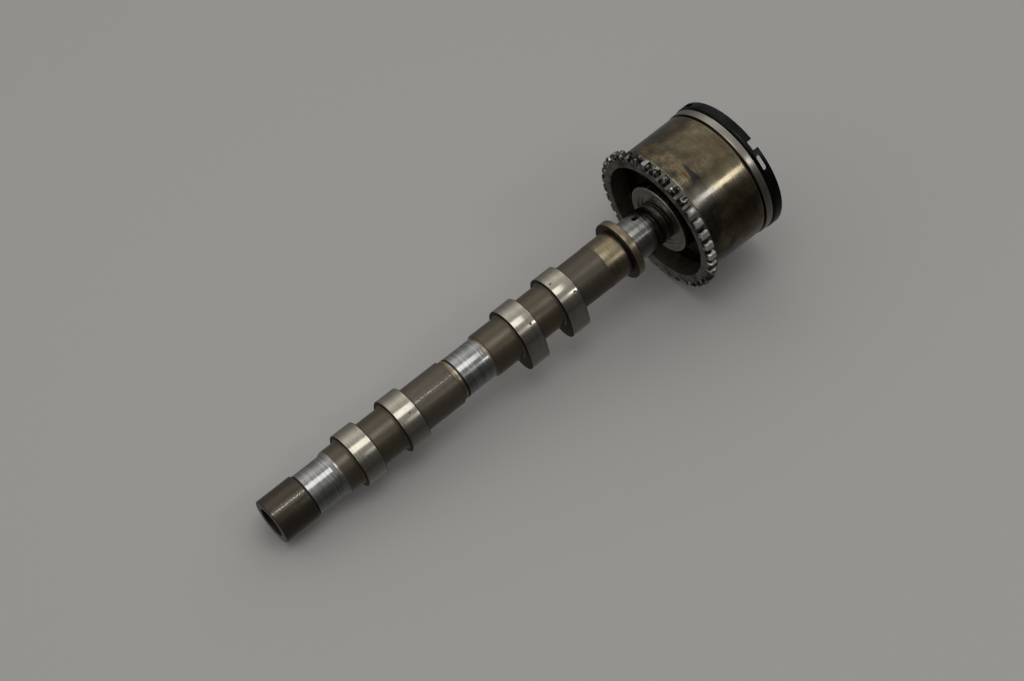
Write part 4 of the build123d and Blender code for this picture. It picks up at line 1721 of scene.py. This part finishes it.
    def lobe_outline(self) -> list[tuple[Vector, Vector]]:
        """Points of a lobe's outline and their outward directions, nose at angle 0."""
        base_radius = SHAFT.base_radius
        reach = base_radius + self.lift - self.nose_arc
        base_leg = self.flank_radius - base_radius
        nose_leg = self.flank_radius - self.nose_arc
        spread = (reach**2 + base_leg**2 - nose_leg**2) / (2 * reach * base_leg)
        flank_angle = math.acos(spread)
        flank = Vector((math.cos(flank_angle), math.sin(flank_angle))) * base_leg
        nose = Vector((reach, 0.0))
        to_nose = nose - flank
        nose_turn = math.atan2(to_nose.y, to_nose.x)
        base_turn = flank_angle - math.pi
        arcs = [
            (nose, self.nose_arc, 0.0, -nose_turn, 14),
            (Vector((flank.x, -flank.y)), self.flank_radius, -nose_turn, -base_turn, 16),
            (Vector((0.0, 0.0)), base_radius, -base_turn, math.pi, 40),
        ]
        half: list[tuple[Vector, Vector]] = []
        for center, radius, start, stop, steps in arcs:
            for step in range(steps):
                angle = start + (stop - start) * step / steps
                way = Vector((math.cos(angle), math.sin(angle)))
                half.append((center + way * radius, way))
        other = [(Vector((p.x, -p.y)), Vector((w.x, -w.y))) for p, w in reversed(half[1:])]
        tip = (Vector((-base_radius, 0.0)), Vector((-1.0, 0.0)))
        return half + [tip] + other

    def lobe_blank(self) -> bpy.types.Object:
        """One lobe about station 0, as a closed ring with rounded edges."""
        half = SHAFT.lobe_width / 2
        inner = self.web_radius - 2.0
        bands: list[tuple[float, Optional[float]]] = [(-half, None)]
        for step in reversed(range(CORNER_STEPS + 1)):
            turn = math.pi / 2 * step / CORNER_STEPS
            bands.append((-half + self.edge * (1 - math.sin(turn)), self.edge * (1 - math.cos(turn))))
        bands += [(-station, inset) for station, inset in reversed(bands)]
        outline = self.lobe_outline()
        rings: list[list[Point3]] = []
        for station, inset in bands:
            ring: list[Point3] = []
            for place, way in outline:
                spot = place.normalized() * inner if inset is None else place - way * inset
                ring.append((station, spot.x, spot.y))
            rings.append(ring)
        return lofted("lobe_blank", rings, closed=True)


@dataclass
class Sprocket:
    """The chain sprocket: its ring and its teeth.

    Attributes:
        face: Station of the ring's open face.
        flare: Extra half width of a tooth at the foot of its bevel.
        edge: Bevel that breaks a tooth's edges.
        wear: Most that a tooth sinks.
    """

    shop: Workshop
    face: float = 276.2
    spigot_end: float = 288.3
    mouth_radius: float = 37.25
    spigot_radius: float = 38.87
    root_radius: float = 42.1
    tip_radius: float = 45.8
    tooth_width: float = 5.2
    tip_width: float = 3.6
    root_width: float = 5.9
    tooth_bevel: float = 0.8
    flare: float = 0.45
    edge: float = 0.32
    tooth_count: int = 36
    first_angle: float = 95.0
    wear: float = 0.12
    wear_seed: int = 7

    def build(self) -> None:
        """Makes and delivers the ring and its teeth."""
        end = self.face + self.tooth_width
        ring = turned(
            "sprocket_body",
            [
                Corner(self.face, self.mouth_radius, 0.4),
                Corner(self.face, self.root_radius, 0.25),
                Corner(end, self.root_radius, 0.25),
                Corner(end, PHASER.drum_radius, 0.2),
                Corner(PHASER.seam, PHASER.drum_radius, 0.2),
                Corner(PHASER.seam, self.spigot_radius),
                Corner(self.spigot_end, self.spigot_radius, 0.2),
                Corner(self.spigot_end, self.mouth_radius, 0.2),
            ],
        )
        self.shop.deliver(ring, RING_FINISH, Body.DRUM, Slot.RING, ["sprocket_ring"])
        teeth = self.shop.repeat(
            "chain_teeth",
            self.tooth(),
            self.tooth_count,
            self.first_angle,
            TOOTH_FINISH,
            self.wear,
            self.wear_seed,
        )
        self.shop.deliver(teeth, TOOTH_FINISH, Body.DRUM, Slot.RING, ["sprocket_ring"])

    def tooth(self) -> bpy.types.Object:
        """One tooth at angle 0, with its front bevelled and its edges broken."""
        base = self.root_radius - 0.8
        end = self.face + self.tooth_width
        tip = self.tip_radius
        half_root, half_tip = self.root_width / 2, self.tip_width / 2
        outline = [
            (self.face, base, half_root),
            (self.face, tip - 2 * self.tooth_bevel, half_tip + self.flare),
            (self.face + self.tooth_bevel, tip, half_tip),
            (end, tip, half_tip),
            (end, base, half_root),
        ]
        tooth = lofted("tooth", [[(x, r, sign * w) for x, r, w in outline] for sign in (1, -1)])
        modifier = tooth.modifiers.new("edges", "BEVEL")
        modifier.width = self.edge
        modifier.segments = 2
        return settle(tooth)


@dataclass
class Drum:
    """The phaser's housing and its outer cover."""

    shop: Workshop
    recess_radius: float = 38.9
    chamber_radius: float = 36.0
    lobe_count: int = 4
    lobe_angle: float = 122.5
    lobe_span: float = 40.6
    lobe_inner: float = 25.1
    bolt_circle: float = 31.8
    bolt_hole: float = 3.12
    dowel_offset: float = 14.0
    dowel_depth: float = 4.0
    groove_radius: float = 39.6
    cover_radius: float = 41.7
    cover_end: float = 328.9
    cover_bore: float = 16.05
    head_hole: float = 4.98
    head_depth: float = 4.1

    def build(self) -> None:
        """Makes and delivers the housing, its stator lobes and the cover."""
        end = PHASER.drum_end
        shell = turned(
            "drum_shell",
            [
                Corner(PHASER.seam, self.recess_radius, 0.1),
                Corner(PHASER.seam, PHASER.drum_radius, 0.35),
                Corner(end, PHASER.drum_radius, 0.35),
                Corner(end, self.chamber_radius, 0.1),
                Corner(PHASER.chamber_start, self.chamber_radius, 0.1),
                Corner(PHASER.chamber_start, self.recess_radius, 0.2),
            ],
        )
        self.shop.deliver(shell, DrumFinish("bronze_oxide"), Body.DRUM, Slot.DRUM, ["stator_housing"])
        lobes = self.repeat("stator_lobes", self.stator_lobe(), CHAMBER_FINISH)
        carve(lobes, self.dowel_drills(end, -1.0))
        self.shop.deliver(lobes, CHAMBER_FINISH, Body.DRUM, Slot.DRUM, ["stator_housing"])
        cover = turned(
            "cover_disc",
            [
                Corner(end, self.cover_bore),
                Corner(end, self.groove_radius, 0.1),
                Corner(PHASER.groove_end, self.groove_radius, 0.15),
                Corner(PHASER.groove_end, self.cover_radius, 0.5),
                Corner(self.cover_end, self.cover_radius, 0.5),
                Corner(self.cover_end, self.cover_bore, 0.3),
            ],
        )
        past, place = self.cover_end + 1, (self.bolt_circle, 0.0)
        through = pin("drill", self.bolt_hole, end - 1, past, place)
        heads = pin("drill", self.head_hole, self.cover_end - self.head_depth, past, place)
        drills = [self.repeat("drills", drill, COVER_FINISH) for drill in (through, heads)]
        carve(cover, drills + self.dowel_drills(end, 1.0))
        self.shop.deliver(cover, COVER_FINISH, Body.DRUM, Slot.COVER, ["outer_cover"])

    def repeat(self, name: str, item: bpy.types.Object, finish: Finish) -> bpy.types.Object:
        """Copies an item to each stator lobe."""
        return self.shop.repeat(name, item, self.lobe_count, self.lobe_angle, finish)

    def dowel_drills(self, station: float, way: float) -> list[bpy.types.Object]:
        """Cutters of the two dowel holes.

        Args:
            station: Station of the face that they start at.
            way: 1 towards the outer end, or -1.

        Returns:
            The cutters.
        """
        start, end = sorted((station - 0.5 * way, station + self.dowel_depth * way))
        first = self.lobe_angle + self.dowel_offset
        return [
            pin("drill", PHASER.dowel_hole, start, end, (self.bolt_circle, first + 180 * number))
            for number in range(2)
        ]

    def stator_lobe(self) -> bpy.types.Object:
        """One stator lobe at angle 0, with its bolt hole and seal groove."""
        start, end = PHASER.chamber_start, PHASER.drum_end
        outline = sector(self.lobe_inner, self.chamber_radius + 0.5, 0.0, self.lobe_span)
        depth, half = PHASER.seal_groove
        inner = self.lobe_inner
        groove = [(inner - 1, -half), (inner + depth, -half), (inner + depth, half), (inner - 1, half)]
        lobe = prism("stator_lobe", outline, start, end)
        cutters = [
            prism("cutter", groove, start - 1, end + 1),
            pin("cutter", self.bolt_hole, start - 1, end + 1, (self.bolt_circle, 0.0)),
        ]
        return carve(lobe, cutters)


@dataclass
class Rotor:
    """The rotor: hub, core with four vanes, and boss."""

    shop: Workshop
    hub_radius: float = 22.3
    step_radii: Point2 = (17.0, 15.0)
    step_depth: float = 0.9
    nose_bore: float = 12.63
    core_start: float = 300.1
    core_end: float = 322.5
    core_radius: float = 25.0
    boss_radius: float = 16.0
    vane_tip: float = 35.9
    vane_span: float = 23.0
    vane_count: int = 4
    vane_angle: float = 90.0
    lock_hole: float = 3.05
    lock_circle: float = 28.4

    def build(self) -> None:
        """Makes and delivers the hub and the vanes."""
        first, second = self.step_radii
        face, nose_end, boss_end = PHASER.hub_face, SHAFT.nose[1], PHASER.wheel_back
        hub = turned(
            "rotor_hub",
            [
                Corner(face, first, 0.15),
                Corner(face, self.hub_radius, 1.0),
                Corner(self.core_start, self.hub_radius, 0.2),
                Corner(self.core_start, self.core_radius),
                Corner(self.core_end, self.core_radius),
                Corner(self.core_end, self.boss_radius, 0.2),
                Corner(boss_end, self.boss_radius, 0.3),
                Corner(boss_end, PHASER.passage_radius, 0.3),
                Corner(nose_end, PHASER.passage_radius, 0.1),
                Corner(nose_end, self.nose_bore),
                Corner(face + 2 * self.step_depth, self.nose_bore, 0.15),
                Corner(face + 2 * self.step_depth, second, 0.15),
                Corner(face + self.step_depth, second, 0.15),
                Corner(face + self.step_depth, first, 0.15),
            ],
        )
        self.shop.deliver(hub, HubFinish("turned_hub"), Body.SHAFT, Slot.ROTOR, ["rotor"])
        vanes = self.shop.repeat(
            "rotor_vanes", self.vane(), self.vane_count, self.vane_angle, CHAMBER_FINISH
        )
        place = (self.lock_circle, self.vane_angle)
        carve(vanes, [pin("cutter", self.lock_hole, self.core_start - 1, self.core_end + 1, place)])
        self.shop.deliver(vanes, CHAMBER_FINISH, Body.SHAFT, Slot.ROTOR, ["rotor"])

    def vane(self) -> bpy.types.Object:
        """One vane at angle 0, with the groove of its tip seal."""
        outline = sector(self.core_radius - 0.5, self.vane_tip, 0.0, self.vane_span)
        vane = prism("vane", outline, self.core_start, self.core_end)
        depth, half = PHASER.seal_groove
        tip = self.vane_tip
        groove = [(tip - depth, -half), (tip + 1, -half), (tip + 1, half), (tip - depth, half)]
        return carve(vane, [prism("cutter", groove, self.core_start - 1, self.core_end + 1)])


@dataclass
class TriggerWheel:
    """The pressed trigger wheel, with its open notches and closed windows.

    Attributes:
        sheet: Thickness of the sheet.
        bend: Rounding where the face bends into the rim.
        notch: First and last angle of the first notch.
        window: First and last angle of the first window.
        window_bar: Height of the bar that closes a window.
        dowel: Radius and angle of the dowel's hole.
    """

    shop: Workshop
    sheet: float = 1.6
    end: float = 335.6
    bend: float = 1.9
    notch: Point2 = (110.0, 118.0)
    notch_depth: float = 3.6
    notch_round: float = 0.5
    window: Point2 = (123.0, 136.0)
    window_bar: float = 1.8
    window_round: float = 1.5
    pattern_count: int = 4
    dowel: Point2 = (13.3, 57.0)

    def build(self) -> None:
        """Makes and delivers the wheel."""
        back, radius, bore = PHASER.wheel_back, PHASER.wheel_radius, PHASER.passage_radius
        face = back + self.sheet
        inner = radius - self.sheet
        wheel = turned(
            "trigger_cup",
            [
                Corner(back, bore, 0.1),
                Corner(back, radius, self.bend),
                Corner(self.end, radius, 0.3),
                Corner(self.end, inner, 0.3),
                Corner(face, inner, 0.5),
                Corner(face, bore, 0.1),
            ],
        )
        notches = self.cutters(self.notch, self.end - self.notch_depth, self.end + 2, self.notch_round)
        windows = self.cutters(self.window, face, self.end - self.window_bar, self.window_round)
        hole = pin("cutter", PHASER.dowel_hole, back - 1, face + 1, self.dowel)
        carve(wheel, [notches, windows, hole])
        self.shop.deliver(wheel, WHEEL_FINISH, Body.SHAFT, Slot.WHEEL, ["trigger_wheel"])

    def cutters(self, angles: Point2, start: float, end: float, rounding: float) -> bpy.types.Object:
        """Cutters through the rim, one for each repeat of the pattern.

        Args:
            angles: First and last angle of the first one.
            start: First station.
            end: Last station.
            rounding: Radius of its corners.

        Returns:
            The cutters, as one object.
        """
        radius = PHASER.wheel_radius
        half = math.radians(angles[1] - angles[0]) / 2 * radius
        places = ((start, -half), (start, half), (end, half), (end, -half))
        outline = rounded([Corner(station, arc, rounding) for station, arc in places])
        rings = [
            [(station, *polar(reach, math.degrees(arc / radius))) for station, arc in outline]
            for reach in (radius - self.sheet - 1.5, radius + 1.5)
        ]
        middle = (angles[0] + angles[1]) / 2
        return self.shop.repeat(
            "cutters", lofted("cutter", rings), self.pattern_count, middle, WHEEL_FINISH
        )


@dataclass
class SmallParts:
    """The CAD nodes that keep their shape: plate, bolts, pins, springs and seals."""

    shop: Workshop
    seal_count: int = 4

    def build(self) -> None:
        """Dresses each node."""
        choices: list[tuple[str, Finish, Slot]] = [
            ("inner_plate", PLATE_FINISH, Slot.PLATE),
            ("cover_bolts", FASTENER_FINISH, Slot.FASTENER),
            ("center_bolt", FASTENER_FINISH, Slot.FASTENER),
            ("bolt_washer", FASTENER_FINISH, Slot.FASTENER),
            ("lock_spring", SPRING_FINISH, Slot.SPRING),
        ]
        hardened = ("nose_dowel", "wheel_dowel", "stator_dowels", "lock_pin", "lock_cap", "lock_bush")
        choices += [(name, HARDENED_FINISH, Slot.HARDENED) for name in hardened]
        for number in range(1, self.seal_count + 1):
            for side in ("vane", "stator"):
                choices.append((f"{side}_seal_{number}", SEAL_FINISH, Slot.SEAL))
                choices.append((f"{side}_seal_spring_{number}", SPRING_FINISH, Slot.SPRING))
        for node, finish, slot in choices:
            self.shop.dress(node, finish, slot)
        log.info("dressed %d CAD nodes", len(choices))


@dataclass(frozen=True)
class Lamp:
    """A soft rectangular lamp.

    Attributes:
        name: The lamp's name.
        place: Its middle, in metres.
        along: Direction of its long side.
        size: Length and width, in metres.
        power: Power, in watts.
    """

    name: str
    place: Point3
    along: Point3
    size: Point2
    power: float

    def hang(self, aim: Vector) -> None:
        """Adds the lamp to the scene.

        Args:
            aim: The point that it faces.
        """
        light = bpy.data.lights.new(self.name, "AREA")
        light.shape = "RECTANGLE"
        light.size, light.size_y = self.size
        light.energy = self.power
        holder = bpy.data.objects.new(self.name, light)
        bpy.context.scene.collection.objects.link(holder)
        middle = Vector(self.place)
        away = (middle - aim).normalized()
        side = Vector(self.along)
        side = (side - away * side.dot(away)).normalized()
        turn = Matrix((side, away.cross(side), away)).transposed().to_4x4()
        holder.matrix_world = Matrix.Translation(middle) @ turn


@dataclass
class Studio:
    """Floor, light and the camera of the reference view.

    Attributes:
        line: The shaft's line.
        camera_place: The camera's place, in metres.
        heading: Angle of its look about the vertical, from +X.
        pitch: Angle of its look above the level.
        roll: Its turn about its look.
        lens: Its focal length.
        sensor: Width of its sensor.
        photo_center: Where the look meets the picture, in pixels.
        photo_size: Size of the picture, in pixels.
        floor_half: Half the floor's side, in metres.
        aim_station: Station that the lamps face.
        surround_tint: Colour of the surround.
        surround: Brightness of the surround by its lean from straight up, towards the near side.
        lamps: The lamps.
    """

    line: ShaftLine
    camera_place: Point3 = (-0.449911, -0.453456, 0.962506)
    heading: float = 44.3245
    pitch: float = -54.5498
    roll: float = 5.0103
    lens: float = 71.8910
    sensor: float = 36.0
    photo_center: Point2 = (535.333, 299.971)
    photo_size: Point2 = (1024.0, 681.0)
    floor_half: float = 3.0
    aim_station: float = 170.0
    surround_tint: Colour = (1.0, 0.985, 0.96)
    surround: tuple[Point2, ...] = (
        (-180.0, 0.12),
        (-110.0, 0.14),
        (-84.0, 0.22),
        (-72.0, 0.34),
        (-60.0, 0.48),
        (-49.0, 0.70),
        (-37.0, 0.66),
        (-25.0, 0.48),
        (-1.0, 0.42),
        (23.0, 0.32),
        (35.0, 0.27),
        (46.0, 0.16),
        (58.0, 0.075),
        (94.0, 0.04),
        (120.0, 0.07),
        (167.0, 0.13),
        (180.0, 0.13),
    )
    lamps: tuple[Lamp, ...] = (
        Lamp("overhead", (-0.07, -0.01, 1.24), (1.0, 0.0, 0.0), (0.72, 0.52), 1.46),
        Lamp("near_side", (0.68, -0.94, 1.24), (1.0, 0.0, 0.0), (0.46, 0.20), 0.74),
        Lamp("near_side_far_end", (0.25, -1.00, 1.24), (1.0, 0.0, 0.0), (0.40, 0.36), 0.16),
    )

    def build(self) -> None:
        """Sets up the studio."""
        scene = bpy.context.scene
        scene.view_settings.view_transform = "Standard"
        self.add_floor()
        aim = self.line.point(self.aim_station)
        for lamp in self.lamps:
            lamp.hang(aim)
        self.add_world()
        self.add_camera()

    def add_floor(self) -> None:
        """Lays a plain pale floor under the object."""
        half = self.floor_half
        corners = [(-half, -half, 0.0), (half, -half, 0.0), (half, half, 0.0), (-half, half, 0.0)]
        floor = make_object("floor", corners, [(0, 1, 2, 3)])
        floor.data.materials.append(FloorFinish("pale_floor").material(self.line))
        floor.visible_glossy = False

    def add_world(self) -> None:
        """Makes a soft surround: a bright wall behind, a dim ceiling and a dark near side."""
        world = bpy.data.worlds.new("soft_surround")
        world.use_nodes = True
        bpy.context.scene.world = world
        bench = NodeBench(world.node_tree)
        place = bench.place("ShaderNodeTexCoord")
        split = bench.place("ShaderNodeSeparateXYZ", sockets={0: place.outputs["Generated"]})
        lean = bench.math("ARCTAN2", bench.out(split, "Y") * -1.0, bench.out(split, "Z"))
        way = bench.math("DEGREES", lean) / 360.0 + 0.5
        stops = [
            (angle / 360.0 + 0.5, tuple(level * part for part in self.surround_tint))
            for angle, level in self.surround
        ]
        glow = bench.place("ShaderNodeValToRGB", {"stops": stops}, {"Fac": way})
        back = bench.place("ShaderNodeBackground", sockets={"Color": bench.out(glow, "Color")})
        bench.place("ShaderNodeOutputWorld", sockets={"Surface": bench.out(back)})

    def add_camera(self) -> None:
        """Places the camera at the reference view."""
        heading, pitch = math.radians(self.heading), math.radians(self.pitch)
        look = Vector(
            (
                math.cos(pitch) * math.cos(heading),
                math.cos(pitch) * math.sin(heading),
                math.sin(pitch),
            )
        )
        level_right = Vector((math.sin(heading), -math.cos(heading), 0.0))
        level_up = level_right.cross(look)
        roll = math.radians(self.roll)
        right = level_right * math.cos(roll) + level_up * math.sin(roll)
        up = right.cross(look)
        camera = bpy.data.cameras.new("reference_view")
        camera.lens = self.lens
        camera.sensor_width = self.sensor
        camera.sensor_fit = "HORIZONTAL"
        width, height = self.photo_size
        camera.shift_x = (width / 2 - self.photo_center[0]) / width
        camera.shift_y = (self.photo_center[1] - height / 2) / width
        holder = bpy.data.objects.new("reference_view", camera)
        bpy.context.scene.collection.objects.link(holder)
        turn = Matrix((right, up, -look)).transposed().to_4x4()
        holder.matrix_world = Matrix.Translation(Vector(self.camera_place)) @ turn
        bpy.context.scene.camera = holder


def main() -> None:
    """Builds the object and its studio, piece by piece."""
    logging.basicConfig(level=logging.INFO, format="%(name)s: %(message)s")
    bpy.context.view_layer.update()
    line = ShaftLine.from_joint(frame["joints"][0], JOINT_STATION)
    shop = Workshop(line)
    for part in (Camshaft, Sprocket, Drum, Rotor, TriggerWheel, SmallParts):
        part(shop).build()
    Studio(line).build()


if __name__ == "__main__":
    main()
